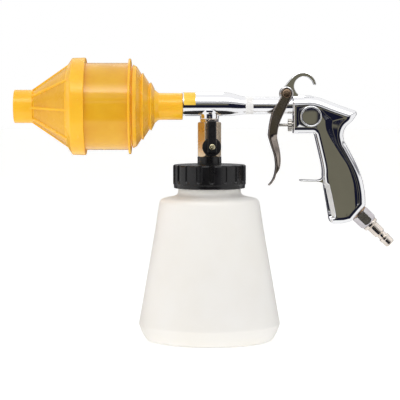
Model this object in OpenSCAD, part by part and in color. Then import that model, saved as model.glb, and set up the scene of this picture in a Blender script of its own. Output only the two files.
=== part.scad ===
// Air-driven foam cleaning gun with a one-litre bottle.
// The origin is the centre of the bottle's base, +Z is up, the nozzle points to -X, sizes in mm.

/* [Bottle] */
// Height of the bottle from its base to the rim of the neck
bottle_h = 148; // [135:1:190]
// Widest radius, just above the base
bottle_r = 62; // [54:0.5:78]
// Radius of the ring that the bottle stands on
bottle_foot_r = 52; // [44:0.5:53]
// Radius of the body at the shoulder
shoulder_r = 43.3; // [40:0.1:50]
// Drop from the rim of the neck down to the shoulder
shoulder_drop = 24; // [22:0.5:34]
// Height of the widest point over the base
bottle_belly_z = 14; // [10:0.5:24]
// Wall of the blown bottle
bottle_wall = 1.6; // [1:0.1:2]
// How far the middle of the base is pushed in
base_dish = 2.4; // [1:0.1:4]

/* [Neck and thread] */
// Outer radius of the neck between its threads
neck_r = 26.2; // [24:0.1:27]
// How far a thread ridge stands out
thread_h = 1.5; // [1:0.1:1.8]
// Rise of the thread in one turn
thread_pitch = 5; // [4:0.5:6]
// Turns of thread on the neck and in the cap
thread_turns = 1.25; // [1:0.05:1.5]
// Axial width of a ridge at its root
thread_root_w = 1.7; // [1.2:0.1:2]
// Radial gap left round every thread crest
thread_gap = 0.5; // [0.4:0.05:0.7]

/* [Cap] */
// Outer radius of the cap over its grip pads
cap_r = 31.9; // [31.5:0.1:38]
// Height of the cap
cap_h = 20.6; // [18:0.1:21]
// Thickness of the cap's roof
cap_roof = 2.2; // [1.6:0.1:3]
// Number of grip grooves
cap_grooves = 18; // [10:1:24]
// Width of a grip groove
cap_groove_w = 5; // [3:0.1:6]
// Depth of a grip groove
cap_groove_depth = 1; // [0.5:0.1:1.2]
// Plain band under the grooves
cap_band_h = 4.8; // [3:0.1:7]

/* [Bottle adapter] */
// Thickness of the rim gasket
gasket_t = 1.6; // [1:0.1:2.5]
// Thickness of the flange that the cap clamps
flange_t = 2.2; // [1.6:0.1:3]
// Radius of the collar over the cap
collar_r = 10.5; // [9.5:0.1:13]
// Height of the collar over the cap
collar_h = 6.9; // [5:0.1:12]
// Radius of the hose barb for the dip tube
barb_r = 2.9; // [2.6:0.1:4]
// Length of the hose barb
barb_len = 13; // [9:0.5:18]
// Wall of the dip tube
dip_wall = 1; // [0.6:0.1:1.5]
// Radius of the strainer
strainer_r = 5.6; // [5.2:0.1:8]
// Height of the strainer
strainer_h = 12; // [9:0.5:16]
// Gap between the strainer and the floor of the bottle
strainer_gap = 2.5; // [1.5:0.1:6]

/* [Ball valve] */
// Corner radius of the six-sided brass body
valve_r = 10.5; // [10.2:0.1:12]
// Height of the brass body
valve_h = 30.2; // [30:0.1:36]
// Height of the ball's centre over the foot of the body
ball_rise = 8.8; // [8.6:0.1:9.6]
// Radius of the ball
ball_r = 5.6; // [5:0.1:5.8]
// Radius of the way through the ball
ball_bore_r = 2.6; // [1.5:0.1:2.8]
// Turn of the whole valve about its upright axis, in degrees
valve_turn = 8; // [0:1:20]
// Length of the lever above its screw
lever_up = 24.5; // [18:0.5:28]
// Length of the lever below its screw
lever_down = 5; // [4.4:0.1:6]
// Width of the lever
lever_w = 8.8; // [8.6:0.1:10]
// Thickness of the lever plate
lever_t = 1.5; // [1:0.1:2]
// Radius of the lever's round base
lever_disc_r = 8.3; // [7:0.1:8.6]
// Height of the nut between the valve and the barrel
nut_h = 2.8; // [2.4:0.1:5]
// Length of the boss under the barrel
boss_h = 2.6; // [1:0.1:5]
// Radius of the boss under the barrel
boss_r = 8.3; // [7.6:0.1:9]

/* [Barrel] */
// Radius of the thick front barrel
thick_r = 10.3; // [9.8:0.1:10.6]
// Rise of the thick barrel's axis over the thin tube's axis
thick_rise = 1.2; // [0:0.1:1.5]
// Length of the thick barrel ahead of the bottle's axis
thick_front = 23.4; // [18:0.1:30]
// Length of the thick barrel behind the bottle's axis, up to the taper
thick_back = 15; // [11:0.5:20]
// Length of the taper down to the thin tube
taper_len = 16.7; // [12:0.1:22]
// Radius of the thin tube
tube_r = 7.4; // [6.8:0.1:8]
// Wall of the thin tube
tube_wall = 2.3; // [1.5:0.1:2.6]
// Radius of the bore of the thick barrel
mix_bore_r = 5.5; // [5.2:0.1:6]
// Radius of the air tube in the barrel
air_tube_r = 3; // [2.4:0.1:3.4]
// Wall of the air tube
air_tube_wall = 0.8; // [0.5:0.1:1]
// Drop of the foam head's axis under the thin tube's axis
head_drop = 0.8; // [0:0.1:1]

/* [Foam head] */
// Outer radius of the canister
canister_r = 38; // [34:0.5:46]
// Length of the canister between its ring and its flange
canister_len = 37.5; // [34:0.5:60]
// Wall of the yellow shells
shell_wall = 2; // [1.6:0.1:2.4]
// How far the nozzle's ring stands over the canister
ring_step = 4.3; // [2.5:0.1:6]
// Length of the nozzle's ring
ring_len = 11.6; // [10:0.1:16]
// How far the rear flange stands over the canister
rim_step = 3.8; // [2:0.1:5]
// Outer radius of the outlet
outlet_r = 14.5; // [12:0.1:17]
// Length of the outlet
outlet_len = 16.6; // [10:0.1:24]
// Length of the nozzle cone
cone_len = 31.2; // [24:0.1:44]
// Number of ribs on the nozzle cone
cone_ribs = 8; // [4:1:12]
// Height of a rib over the cone
rib_h = 2.5; // [1.5:0.1:3]
// Thickness of a rib
rib_t = 1.6; // [1:0.1:2.4]
// Turn of the first rib from the level, in degrees
rib_turn = 5; // [0:1:20]
// Radius of the rear sleeve
sleeve_r = 11.75; // [11.4:0.05:13]
// Length of the rear sleeve
sleeve_len = 21; // [19:0.5:30]
// Length of the stepped rear cone
steps_len = 24; // [22:0.5:32]
// Radius of the barrel's spigot in the sleeve
spigot_r = 9; // [8.6:0.1:9.2]
// Thickness of a perforated screen
screen_t = 0.8; // [0.6:0.1:1.5]
// Radius of a hole in a screen
screen_hole_r = 2; // [1:0.1:2.2]

/* [Gun body] */
// Distance of the gun body's front face behind the bottle's axis
body_x = 73; // [70:0.5:84]
// Width of the grip across its cheeks
grip_w = 24; // [22:0.5:28]
// Width of the rim round the grip's cheeks
grip_rim_w = 17; // [16.4:0.1:20]
// Thickness of the finger rest
fin_t = 1.4; // [1.2:0.1:2.4]
// Reach of the finger rest in front of the grip
fin_reach = 20; // [14:0.5:21]
// Radius of the round side boss
side_boss_r = 9.1; // [8:0.1:9.6]
// Radius of the plain disc in the side boss
side_disc_r = 7.8; // [6:0.1:7.8]
// Width of the hanging hook
hook_w = 8; // [5:0.5:12]
// Slope of the air inlet under the level, in degrees
inlet_slope = 44; // [40:1:50]
// Radius of the air passages
air_way_r = 2.6; // [1.5:0.1:3]
// Corner radius of the six-sided inlet adapter
adapter_r = 8.4; // [7.8:0.1:9]
// Length of the inlet adapter
adapter_len = 13.8; // [10:0.1:18]
// Radius of the air plug's shank
plug_r = 5.2; // [4.6:0.1:5.6]
// Radius of the air plug's groove
plug_groove_r = 3.9; // [3.4:0.1:4.2]
// Radius of the air plug's nose
plug_nose_r = 4.5; // [4.4:0.1:4.8]
// Radius of the way through the air plug
plug_bore_r = 2.4; // [1.5:0.1:2.6]

/* [Trigger and air valve] */
// Radius of the trigger's pivot rivet
rivet_r = 2.4; // [2:0.1:2.8]
// Radius of a rivet head
rivet_head_r = 3.6; // [3.2:0.1:4.4]
// Radius of a trigger ear round the rivet
ear_r = 5.3; // [4.8:0.1:5.4]
// Thickness of the trigger's sheet
trigger_t = 1.4; // [1:0.1:1.8]
// Gap between the barrel and the trigger's ears
ear_gap = 0.9; // [0.6:0.1:1.5]
// Drop of the valve stem's axis under the thin tube's axis
stem_drop = 17.1; // [16.6:0.1:17.6]
// Radius of the valve stem
stem_r = 1.3; // [1:0.1:1.6]
// Radius of the air valve's sleeve in the body
valve_sleeve_r = 5.2; // [4.8:0.1:5.4]
// Travel left behind the poppet for the spring
spring_room = 13; // [11.5:0.5:15]
// Wire radius of the return spring
spring_wire_r = 0.4; // [0.3:0.05:0.6]
// Turns of the return spring
spring_turns = 5; // [3:1:6]

/* [Fits] */
// Radial gap of a piece that is screwed or pressed into another
fit = 0.05; // [0.02:0.01:0.1]
// Radial gap of a piece that turns or slides in another
run = 0.08; // [0.05:0.01:0.1]
// Gap between moving pieces that never touch
clear = 0.3; // [0.3:0.05:0.5]

/* [Hidden] */
$fn = 96;

// Heights, stacked from the bottle's base upwards
shoulder_z = bottle_h - shoulder_drop;
flange_z = bottle_h + gasket_t;
roof_z = flange_z + flange_t;
cap_top = roof_z + cap_roof;
cap_z = cap_top - cap_h;
collar_top = cap_top + collar_h;
valve_top = collar_top + valve_h;
ball_z = collar_top + ball_rise;
boss_z = valve_top + nut_h;
thick_z = boss_z + boss_h + thick_r;
tube_z = thick_z - thick_rise;
head_z = tube_z - head_drop;
stem_z = tube_z - stem_drop;

// Bottle and cap
neck_bore_r = neck_r - bottle_wall - 0.4;
cap_bore_r = neck_r + thread_h + thread_gap;
thread_start = 3.4;
collar_hole_r = collar_r + clear;
dip_r = barb_r + fit + dip_wall;
floor_z = base_dish + bottle_wall;

// Ball valve, seen from its own axis
valve_flat = valve_r * cos(30);
chamber_r = ball_r + 0.6;
seat_h = 3.4;
seat_z = ball_z - ball_r - 0.8;
seat_top = 2 * ball_z - seat_z;
retainer_h = 3;
spigot_len = 8;
foot_r = 6.5;
packing_r = 3.6;
stem_hole_r = 2.2;
packing_top = valve_flat + 1.2;
lever_y = packing_top + 2.4;

// Barrel
thick_x = -thick_front;
taper_x = thick_back;
tube_front = taper_x + taper_len - 7.7;
tube_end = body_x + 11;
tube_bore_r = tube_r - tube_wall;
bushing_len = 14;
bushing_x = tube_front - 6;
sleeve_x = thick_x - sleeve_len;
spigot_end = sleeve_x - 4;
jet_len = 10;
jet_x = spigot_end + 4;

// Foam head, from the sleeve to the tip
rim_x = sleeve_x - steps_len;
rim_t = 2;
canister_x = rim_x - rim_t - canister_len;
ring_x = canister_x - ring_len;
chamfer_len = 3.3;
ring_r = canister_r + ring_step;
rim_r = canister_r + rim_step;
cone_r = canister_r - 0.8;
cone_x = ring_x - chamfer_len;
outlet_x = cone_x - cone_len;
tip_x = outlet_x - outlet_len;
canister_in_r = canister_r - shell_wall;
ledge_t = 2;
canister_front = ring_x + 2.5;
rear_plug_len = 8;
stack_front = canister_front + 3 + ledge_t;
stack_back = rim_x - rim_t - rear_plug_len;

// Gun body, seen from the tube's axis at the body's front face
pivot_x = body_x - 6;
pivot_z = tube_z + 10.5;
lug_r = ear_r + 0.6;
lug_half = tube_r + ear_gap - 0.3;
ear_y = tube_r + ear_gap;
inlet_x = body_x + 57.6;
inlet_z = tube_z - 93.6;
seat_x = body_x + 21;
port_x = seat_x - 5.5;
poppet_t = 2.2;
washer_t = 1.2;
poppet_r = valve_sleeve_r - 0.9;
poppet_x = seat_x + washer_t;
spring_x = poppet_x + poppet_t;
spring_end = spring_x + spring_room;
gland_x = body_x - 4.3;
web_face_x = pivot_x - 11.4;

// ---------- shared functions and modules ----------

function at(points, i) = points[min(max(i, 0), len(points) - 1)];

// One stretch of a smooth curve between the middle two of four points
function stretch(a, b, c, d, t) =
    0.5 * (2 * b + (c - a) * t + (2 * a - 5 * b + 4 * c - d) * t * t + (3 * b - a - 3 * c + d) * t * t * t);

// A smooth curve through all the points
function smooth(points, steps = 4) = [
    for (i = [0 : len(points) - 2])
        for (k = [0 : steps - 1])
            stretch(at(points, i - 1), points[i], points[i + 1], at(points, i + 2), k / steps),
    points[len(points) - 1]
];

function arc(x, z, r, from, to, steps = 12) = [
    for (k = [0 : steps]) [x + r * cos(from + (to - from) * k / steps), z + r * sin(from + (to - from) * k / steps)]
];

function turned_back(points) = [for (i = [len(points) - 1 : -1 : 0]) points[i]];

// The same line moved sideways to its left by t
function beside(points, t) = [
    for (i = [0 : len(points) - 1])
        let (d = at(points, i + 1) - at(points, i - 1))
        points[i] + t * [-d[1], d[0]] / norm(d)
];

// A line given a thickness
function thickened(points, t) = concat(points, turned_back(beside(points, t)));

// Spins a [radius, x] outline round a line along X at height z
module lathe_x(points, z) {
    translate([0, 0, z])
        rotate([0, 90, 0])
            rotate_extrude()
                polygon(points);
}

// A rod along X
module rod_x(x, length, r, z, sides = 96) {
    translate([x, 0, z])
        rotate([0, 90, 0])
            cylinder(h = length, r = r, $fn = sides);
}

// Extrudes an [x, z] outline evenly to both sides of the middle plane
module slab(points, width) {
    rotate([90, 0, 0])
        linear_extrude(width, center = true)
            polygon(points);
}

// A washer, tube or ring along Z
module ring(z, h, outer, inner) {
    translate([0, 0, z])
        difference() {
            cylinder(h = h, r = outer);
            translate([0, 0, -1])
                cylinder(h = h + 2, r = inner);
        }
}

// A washer, tube or ring along X
module ring_x(x, length, outer, inner, z) {
    difference() {
        rod_x(x, length, outer, z);
        rod_x(x - 1, length + 2, inner, z);
    }
}

// A screw ridge: root radius, height outwards (or inwards when negative), first height
module ridge(root_r, height, z) {
    per_turn = 24;
    last = floor(thread_turns * per_turn);
    half_root = thread_root_w / 2;
    half_crest = thread_root_w / 4;
    sunk = height > 0 ? -0.4 : 0.4;
    section = [
        for (i = [0 : last])
            let (a = 360 * i / per_turn)
            let (tall = height * min(1, (i + 0.4) / 3, (last - i + 0.4) / 3))
            let (mid = z + thread_pitch * i / per_turn)
            for (p = [[sunk, -half_root], [tall, -half_crest], [tall, half_crest], [sunk, half_root]])
                [(root_r + p[0]) * cos(a), (root_r + p[0]) * sin(a), mid + p[1]]
    ];
    sides = [
        for (i = [0 : last - 1])
            for (k = [0 : 3])
                let (n = (k + 1) % 4)
                height > 0
                    ? [4 * i + k, 4 * i + n, 4 * i + 4 + n, 4 * i + 4 + k]
                    : [4 * i + 4 + k, 4 * i + 4 + n, 4 * i + n, 4 * i + k]
    ];
    ends = height > 0
        ? [[3, 2, 1, 0], [4 * last, 4 * last + 1, 4 * last + 2, 4 * last + 3]]
        : [[0, 1, 2, 3], [4 * last + 3, 4 * last + 2, 4 * last + 1, 4 * last]];
    polyhedron(section, concat(sides, ends), convexity = 6);
}

// Puts a piece on the ball valve's cross axis: local Z runs outwards from the ball's centre
module at_ball() {
    rotate([0, 0, valve_turn])
        translate([0, 0, ball_z])
            rotate([90, 0, 0])
                children();
}

// Puts a piece on the air inlet: local Z runs outwards from the inlet face
module at_inlet() {
    translate([inlet_x, 0, inlet_z])
        rotate([0, 90 + inlet_slope, 0])
            children();
}

// Puts an [x, z] shape in the gun body's own place
module at_body() {
    translate([body_x, 0, tube_z])
        children();
}

// ---------- bottle ----------

function bottle_outline() = concat(
    [[0, base_dish], [bottle_foot_r - 6, base_dish]],
    smooth([[bottle_foot_r - 3.5, 1.6], [bottle_foot_r - 1.5, 0.2]], 3),
    [[bottle_foot_r - 1, 0], [bottle_foot_r + 1, 0]],
    smooth([[bottle_foot_r + 2, 0.3], [bottle_foot_r + 4.5, 2],
        [bottle_r - 2.2, bottle_belly_z - 6.4], [bottle_r, bottle_belly_z]], 5),
    smooth([[shoulder_r + 0.6, shoulder_z - 3.6], [shoulder_r - 0.5, shoulder_z - 1.2],
        [shoulder_r - 3.4, shoulder_z + 0.6], [neck_r + 5.5, shoulder_z + 2.4],
        [neck_r + 2.2, shoulder_z + 4.2], [neck_r + 1.2, shoulder_z + 6.2]], 4),
    [[neck_r + 1.2, cap_z - 0.5], [neck_r, cap_z + 0.5], [neck_r, bottle_h]]
);

function bottle_inside() = concat(
    [[0, floor_z], [bottle_foot_r - 5, floor_z]],
    smooth([[bottle_foot_r - 2, floor_z - 0.9], [bottle_foot_r + 2.5, floor_z],
        [bottle_r - 4.2, bottle_belly_z - 5], [bottle_r - bottle_wall, bottle_belly_z]], 4),
    smooth([[shoulder_r + 0.6 - bottle_wall, shoulder_z - 3.9],
        [shoulder_r - 4.2, shoulder_z - 1.2], [neck_r + 3, shoulder_z + 1.2],
        [neck_bore_r + 0.4, shoulder_z + 4], [neck_bore_r, shoulder_z + 7]], 4),
    [[neck_bore_r, bottle_h]]
);

module bottle() {
    color("ghostwhite")
        union() {
            rotate_extrude()
                polygon(concat(bottle_outline(), turned_back(bottle_inside())));
            ridge(neck_r, thread_h, cap_z + thread_start + thread_pitch / 2);
        }
}

module bottle_cap() {
    shoulder = 1.4;
    pad_z = cap_z + cap_band_h;
    skirt_r = cap_r - 0.6;
    color("#2F2E30")
        union() {
            difference() {
                rotate_extrude()
                    polygon([
                        [0, cap_z], [skirt_r - 0.6, cap_z], [skirt_r, cap_z + 0.6], [skirt_r, pad_z - 2],
                        [cap_r, pad_z - 1], [cap_r, cap_top - shoulder], [cap_r - shoulder, cap_top], [0, cap_top]
                    ]);
                translate([0, 0, cap_z - 1])
                    cylinder(h = roof_z - cap_z + 1, r = cap_bore_r);
                translate([0, 0, roof_z - 1])
                    cylinder(h = cap_roof + 2, r = collar_hole_r);
                for (i = [0 : cap_grooves - 1])
                    rotate([0, 0, -86.5 + i * 360 / cap_grooves]) {
                        translate([cap_r - cap_groove_depth, 0, pad_z + cap_groove_w / 2])
                            rotate([0, 90, 0])
                                cylinder(h = 4, r = cap_groove_w / 2);
                        translate([cap_r - cap_groove_depth, -cap_groove_w / 2, pad_z + cap_groove_w / 2])
                            cube([4, cap_groove_w, cap_h]);
                    }
            }
            ridge(cap_bore_r, -thread_h + 0.2, cap_z + thread_start);
        }
}

module cap_gasket() {
    color("dimgray")
        ring(bottle_h, gasket_t, neck_r, neck_bore_r);
}

module bottle_adapter() {
    socket_z = collar_top - spigot_len - 0.6;
    barb_z = flange_z - barb_len;
    color("#242325")
        difference() {
            rotate_extrude()
                polygon([
                    [0, barb_z], [barb_r - 0.9, barb_z], [barb_r, barb_z + 2.4], [barb_r - 0.5, barb_z + 2.4],
                    [barb_r - 0.5, barb_z + 3], [barb_r, barb_z + 5.4], [barb_r - 0.5, barb_z + 5.4],
                    [barb_r - 0.5, flange_z - 2], [barb_r + dip_wall, flange_z - 2],
                    [barb_r + dip_wall + 1, flange_z], [neck_r, flange_z], [neck_r, roof_z],
                    [collar_r, roof_z], [collar_r, collar_top], [0, collar_top]
                ]);
            translate([0, 0, socket_z])
                cylinder(h = spigot_len + 2, r = foot_r + fit);
            translate([0, 0, barb_z - 1])
                cylinder(h = barb_len + spigot_len, r = barb_r - 1.3);
        }
}

module dip_tube() {
    low = floor_z + strainer_gap + 3;
    color("whitesmoke")
        ring(low, flange_z - 2.3 - low, dip_r, barb_r + fit);
}

module tube_strainer() {
    low = floor_z + strainer_gap;
    slots = 8;
    color("silver")
        difference() {
            translate([0, 0, low])
                cylinder(h = strainer_h, r = strainer_r);
            translate([0, 0, low + 3])
                cylinder(h = strainer_h, r = dip_r + fit);
            translate([0, 0, low - 1])
                cylinder(h = strainer_h, r = barb_r);
            for (i = [0 : slots - 1])
                rotate([0, 0, i * 360 / slots])
                    translate([0, -0.6, low - 1])
                        cube([strainer_r + 1, 1.2, 3]);
        }
}

// ---------- ball valve ----------

module ball_valve_body() {
    color("#C4924A")
        difference() {
            union() {
                rotate([0, 0, valve_turn])
                    translate([0, 0, collar_top])
                        cylinder(h = valve_h, r = valve_r, $fn = 6);
                translate([0, 0, collar_top - spigot_len])
                    cylinder(h = spigot_len + 1, r = foot_r);
                at_ball()
                    cylinder(h = packing_top, r = packing_r + 1.4);
            }
            translate([0, 0, collar_top - spigot_len - 1])
                cylinder(h = spigot_len + valve_h, r = ball_bore_r);
            translate([0, 0, seat_z])
                cylinder(h = valve_h + 20, r = chamber_r);
            at_ball() {
                cylinder(h = packing_top + 1, r = stem_hole_r + run);
                translate([0, 0, packing_top - 3.2])
                    cylinder(h = 4, r = packing_r);
            }
        }
}

// One ring under the ball and one over it, each dished to the ball
module ball_seats() {
    color("white")
        for (z = [seat_z, seat_top - seat_h])
            difference() {
                ring(z, seat_h, chamber_r - fit, ball_bore_r + 0.4);
                translate([0, 0, ball_z])
                    sphere(r = ball_r + run);
            }
}

module seat_retainer() {
    color("#B88A45")
        difference() {
            ring(seat_top, retainer_h, chamber_r - fit, ball_bore_r + 0.6);
            translate([-chamber_r, -0.7, seat_top + retainer_h - 1.2])
                cube([2 * chamber_r, 1.4, 2]);
        }
}

module valve_packing() {
    color("white")
        at_ball()
            ring(packing_top - 3.2, 1.8, packing_r - fit, stem_hole_r + run);
}

module packing_nut() {
    color("#B88A45")
        at_ball()
            difference() {
                union() {
                    translate([0, 0, packing_top - 1.4])
                        cylinder(h = 2, r = packing_r - fit);
                    translate([0, 0, packing_top])
                        cylinder(h = 1.9, r = packing_r + 1, $fn = 6);
                }
                cylinder(h = packing_top + 4, r = stem_hole_r + run);
            }
}

module valve_ball() {
    color("silver")
        difference() {
            translate([0, 0, ball_z])
                sphere(r = ball_r);
            translate([0, 0, ball_z - ball_r - 1])
                cylinder(h = 2 * ball_r + 2, r = ball_bore_r);
            at_ball()
                translate([-0.9, -ball_r, ball_r - 1.6])
                    cube([1.8, 2 * ball_r, 3]);
        }
}

module ball_stem() {
    color("#C9A05E")
        at_ball()
            difference() {
                union() {
                    translate([-0.85, -stem_hole_r + 0.3, ball_r - 1.5])
                        cube([1.7, 2 * stem_hole_r - 0.6, 2]);
                    translate([0, 0, ball_r + 0.3])
                        cylinder(h = lever_y - ball_r - 0.3, r = stem_hole_r);
                    translate([-1.5, -1.5, lever_y - 0.5])
                        cube([3, 3, lever_t + 0.5]);
                }
                translate([0, 0, lever_y - 6])
                    cylinder(h = 12, r = 1);
            }
}

// The lever's arm in its own plane, with a rounded end
module lever_arm(half, up, down) {
    translate([0, up - half])
        circle(r = half);
    translate([-half, -down])
        square([2 * half, up - half + down]);
}

module lever_plate() {
    color("#2B2A2C")
        at_ball()
            translate([0, 0, lever_y])
                linear_extrude(lever_t)
                    difference() {
                        union() {
                            circle(r = lever_disc_r);
                            lever_arm(lever_w / 2, lever_up, lever_down);
                        }
                        square([3.1, 3.1], center = true);
                    }
}

module lever_sleeve() {
    top_w = lever_w - 2.4;
    foot_w = lever_w - 0.8;
    top_y = lever_up - 1.6;
    color("#1B1B1D")
        at_ball()
            translate([0, 0, lever_y + lever_t])
                difference() {
                    linear_extrude(2.4)
                        polygon([
                            [-foot_w / 2, -lever_down], [foot_w / 2, -lever_down],
                            [top_w / 2, top_y - 0.8], [top_w / 2 - 0.8, top_y],
                            [0.8 - top_w / 2, top_y], [-top_w / 2, top_y - 0.8]
                        ]);
                    translate([0, 0, -1])
                        cylinder(h = 4, r = 2.9);
                }
}

module lever_screw() {
    color("#CFC8B4")
        at_ball()
            difference() {
                union() {
                    translate([0, 0, lever_y - 4.5])
                        cylinder(h = lever_t + 5, r = 1 - fit);
                    translate([0, 0, lever_y + lever_t])
                        cylinder(h = 2.6, r = 2.7);
                }
                translate([-3, -0.35, lever_y + lever_t + 1.8])
                    cube([6, 0.7, 2]);
                translate([-0.35, -3, lever_y + lever_t + 1.8])
                    cube([0.7, 6, 2]);
            }
}

// ---------- barrel ----------

module valve_nipple() {
    low = seat_top + retainer_h;
    color("#A9A29C")
        difference() {
            union() {
                translate([0, 0, low])
                    cylinder(h = valve_top - low + 1, r = chamber_r - fit);
                rotate([0, 0, valve_turn])
                    translate([0, 0, valve_top])
                        cylinder(h = nut_h, r = boss_r, $fn = 6);
                translate([0, 0, boss_z - 1])
                    cylinder(h = boss_h + 2.8, r = 5);
            }
            translate([0, 0, low - 1])
                cylinder(h = 40, r = ball_bore_r);
        }
}

module mixing_barrel() {
    lip = 0.8;
    color("gainsboro")
        difference() {
            union() {
                rod_x(thick_x, thick_front + taper_x, thick_r, thick_z);
                rod_x(spigot_end, thick_x - spigot_end + 2, spigot_r, head_z);
                hull() {
                    rod_x(taper_x - 0.01, 0.01, thick_r, thick_z, 64);
                    rod_x(taper_x + taper_len - 0.01, 0.01, tube_r + lip, tube_z, 64);
                }
                translate([0, 0, boss_z])
                    cylinder(h = boss_h + 5, r = boss_r);
            }
            rod_x(spigot_end - 1, 100, mix_bore_r, tube_z);
            rod_x(tube_front, 60, tube_r + fit, tube_z);
            translate([0, 0, boss_z - 1])
                cylinder(h = boss_h + 2.8, r = 5 + fit);
            translate([0, 0, boss_z])
                cylinder(h = thick_r, r = ball_bore_r);
            for (x = [sleeve_x + 3, sleeve_x + 12])
                ring_x(x, 2.2, spigot_r + 1, spigot_r - 1.6, head_z);
        }
}

module sleeve_o_rings() {
    color("#1C1C1C")
        for (x = [sleeve_x + 3, sleeve_x + 12])
            ring_x(x + 0.1, 2, spigot_r, spigot_r - 1.6 + fit, head_z);
}

module barrel_tube() {
    color("gainsboro")
        ring_x(tube_front, tube_end - tube_front, tube_r, tube_bore_r, tube_z);
}

module tube_bushing() {
    inside = tube_front - bushing_x;
    color("#B88A45")
        difference() {
            union() {
                rod_x(bushing_x, inside, mix_bore_r - fit, tube_z);
                rod_x(bushing_x, bushing_len, tube_bore_r - fit, tube_z);
            }
            rod_x(bushing_x - 1, bushing_len + 2, air_tube_r + fit, tube_z);
        }
}

module air_tube() {
    color("#E8E4D8")
        ring_x(jet_x + 4, bushing_x + bushing_len - jet_x - 4, air_tube_r, air_tube_r - air_tube_wall, tube_z);
}

module air_jet() {
    color("#B88A45")
        difference() {
            lathe_x([[0, jet_x - 2], [1.6, jet_x - 2], [air_tube_r + 1, jet_x + 2],
                [air_tube_r + 1, jet_x + jet_len], [0, jet_x + jet_len]], tube_z);
            rod_x(jet_x + 4, jet_len, air_tube_r + fit, tube_z);
            rod_x(jet_x - 3, jet_len, 0.7, tube_z);
        }
}

module spray_nozzle() {
    color("#B88A45")
        difference() {
            union() {
                rod_x(spigot_end - 1.5, 3, mix_bore_r - fit, tube_z);
                rod_x(spigot_end - 3.5, 3.5, mix_bore_r + 1.5, tube_z, 6);
            }
            lathe_x([[0, spigot_end - 4], [2.6, spigot_end - 4], [1.2, spigot_end - 1],
                [3.4, spigot_end + 2], [0, spigot_end + 2]], tube_z);
        }
}

// ---------- foam head ----------

// Steps of the rear cone as [radius, x], from the rim back to the sleeve
function steps_outline() = [
    [canister_r - 3.2, rim_x], [canister_r - 3.2, rim_x + 1.5],
    [canister_r - 1.3, rim_x + 1.6], [canister_r - 3.2, rim_x + 5],
    [canister_r - 6.5, rim_x + 5.4], [canister_r - 9.8, rim_x + 9],
    [canister_r - 8.7, rim_x + 10], [canister_r - 9, rim_x + 10.6],
    [canister_r - 14, rim_x + 12], [canister_r - 18, rim_x + 16],
    [canister_r - 16.7, rim_x + 17.4], [canister_r - 20.8, rim_x + 19.4],
    [sleeve_r + 3, rim_x + 20.4], [sleeve_r, sleeve_x]
];

module rear_cone() {
    plug_r = canister_in_r - fit;
    back = steps_outline();
    color("#FFC636")
        difference() {
            lathe_x(concat(
                [[0, stack_back], [plug_r, stack_back], [plug_r, rim_x - rim_t], [rim_r, rim_x - rim_t],
                    [rim_r, rim_x - 0.8], [rim_r - 0.8, rim_x]],
                back,
                [[sleeve_r, thick_x - 0.8], [sleeve_r - 0.8, thick_x], [0, thick_x]]), head_z);
            lathe_x([[0, stack_back - 1], [plug_r - shell_wall, stack_back - 1],
                [plug_r - shell_wall, rim_x - rim_t], [canister_r - 7.5, rim_x + 2],
                [canister_r - 14.2, rim_x + 8], [canister_r - 21, rim_x + 15],
                [spigot_r + fit, sleeve_x - 2.4], [0, sleeve_x - 2.4]], head_z);
            rod_x(sleeve_x - 6, sleeve_len + 8, spigot_r + fit, head_z);
        }
}

module canister() {
    color("#E6AC2E")
        difference() {
            rod_x(canister_front, rim_x - rim_t - canister_front, canister_r, head_z);
            rod_x(canister_front - 1, 4 + ledge_t, canister_in_r - 3, head_z);
            rod_x(stack_front, 200, canister_in_r, head_z);
        }
}

module nozzle_cone() {
    in_r = canister_r + fit;
    outlet_in_r = outlet_r - shell_wall;
    base_r = cone_r - rib_h;
    throat_r = outlet_r - 1.4;
    color("#FFC636")
        difference() {
            union() {
                lathe_x([
                    [0, tip_x], [outlet_r - 1, tip_x], [outlet_r, tip_x + 1], [outlet_r, outlet_x],
                    [throat_r, outlet_x], [base_r, cone_x - 1.5], [base_r + 1, cone_x - 0.4], [cone_r, cone_x],
                    [ring_r, ring_x], [ring_r + 0.3, canister_x], [0, canister_x]
                ], head_z);
                for (i = [0 : cone_ribs - 1])
                    translate([0, 0, head_z])
                        rotate([i * 360 / cone_ribs + rib_turn, 0, 0])
                            linear_rib();
            }
            lathe_x([
                [0, tip_x - 1], [outlet_in_r, tip_x - 1], [outlet_in_r, outlet_x - 1],
                [base_r - shell_wall, cone_x], [canister_in_r - 3, cone_x + 2.4],
                [canister_in_r - 3, canister_front - 0.3], [0, canister_front - 0.3]
            ], head_z);
            rod_x(canister_front - 0.3, 60, in_r, head_z);
        }
}

// One straight rib on the nozzle cone, standing up along Z before it is turned
module linear_rib() {
    rotate([90, 0, 0])
        linear_extrude(rib_t, center = true)
            polygon([[outlet_x - 0.5, outlet_r - 3], [outlet_x - 0.5, outlet_r - 1], [outlet_x, outlet_r],
                [cone_x, cone_r - 0.1], [cone_x + 1, cone_r - rib_h - 1.5], [outlet_x + 2, outlet_r - 3]]);
}

// A disc with rings of round holes
module screen(x) {
    rings = 4;
    pitch = (canister_in_r - 3) / (rings + 0.2);
    color("silver")
        translate([x, 0, head_z])
            rotate([0, 90, 0])
                linear_extrude(screen_t)
                    difference() {
                        circle(r = canister_in_r - 0.4);
                        circle(r = screen_hole_r, $fn = 24);
                        for (k = [1 : rings])
                            for (i = [0 : 6 * k - 1])
                                rotate([0, 0, i * 60 / k])
                                    translate([k * pitch, 0])
                                        circle(r = screen_hole_r, $fn = 24);
                    }
}

module front_screen() {
    screen(stack_front);
}

module rear_screen() {
    screen(stack_back - screen_t);
}

module foam_pad() {
    x = stack_front + screen_t;
    color("#D8D2C0")
        rod_x(x, stack_back - screen_t - x, canister_in_r - 0.4, head_z);
}

// ---------- gun body ----------

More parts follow.
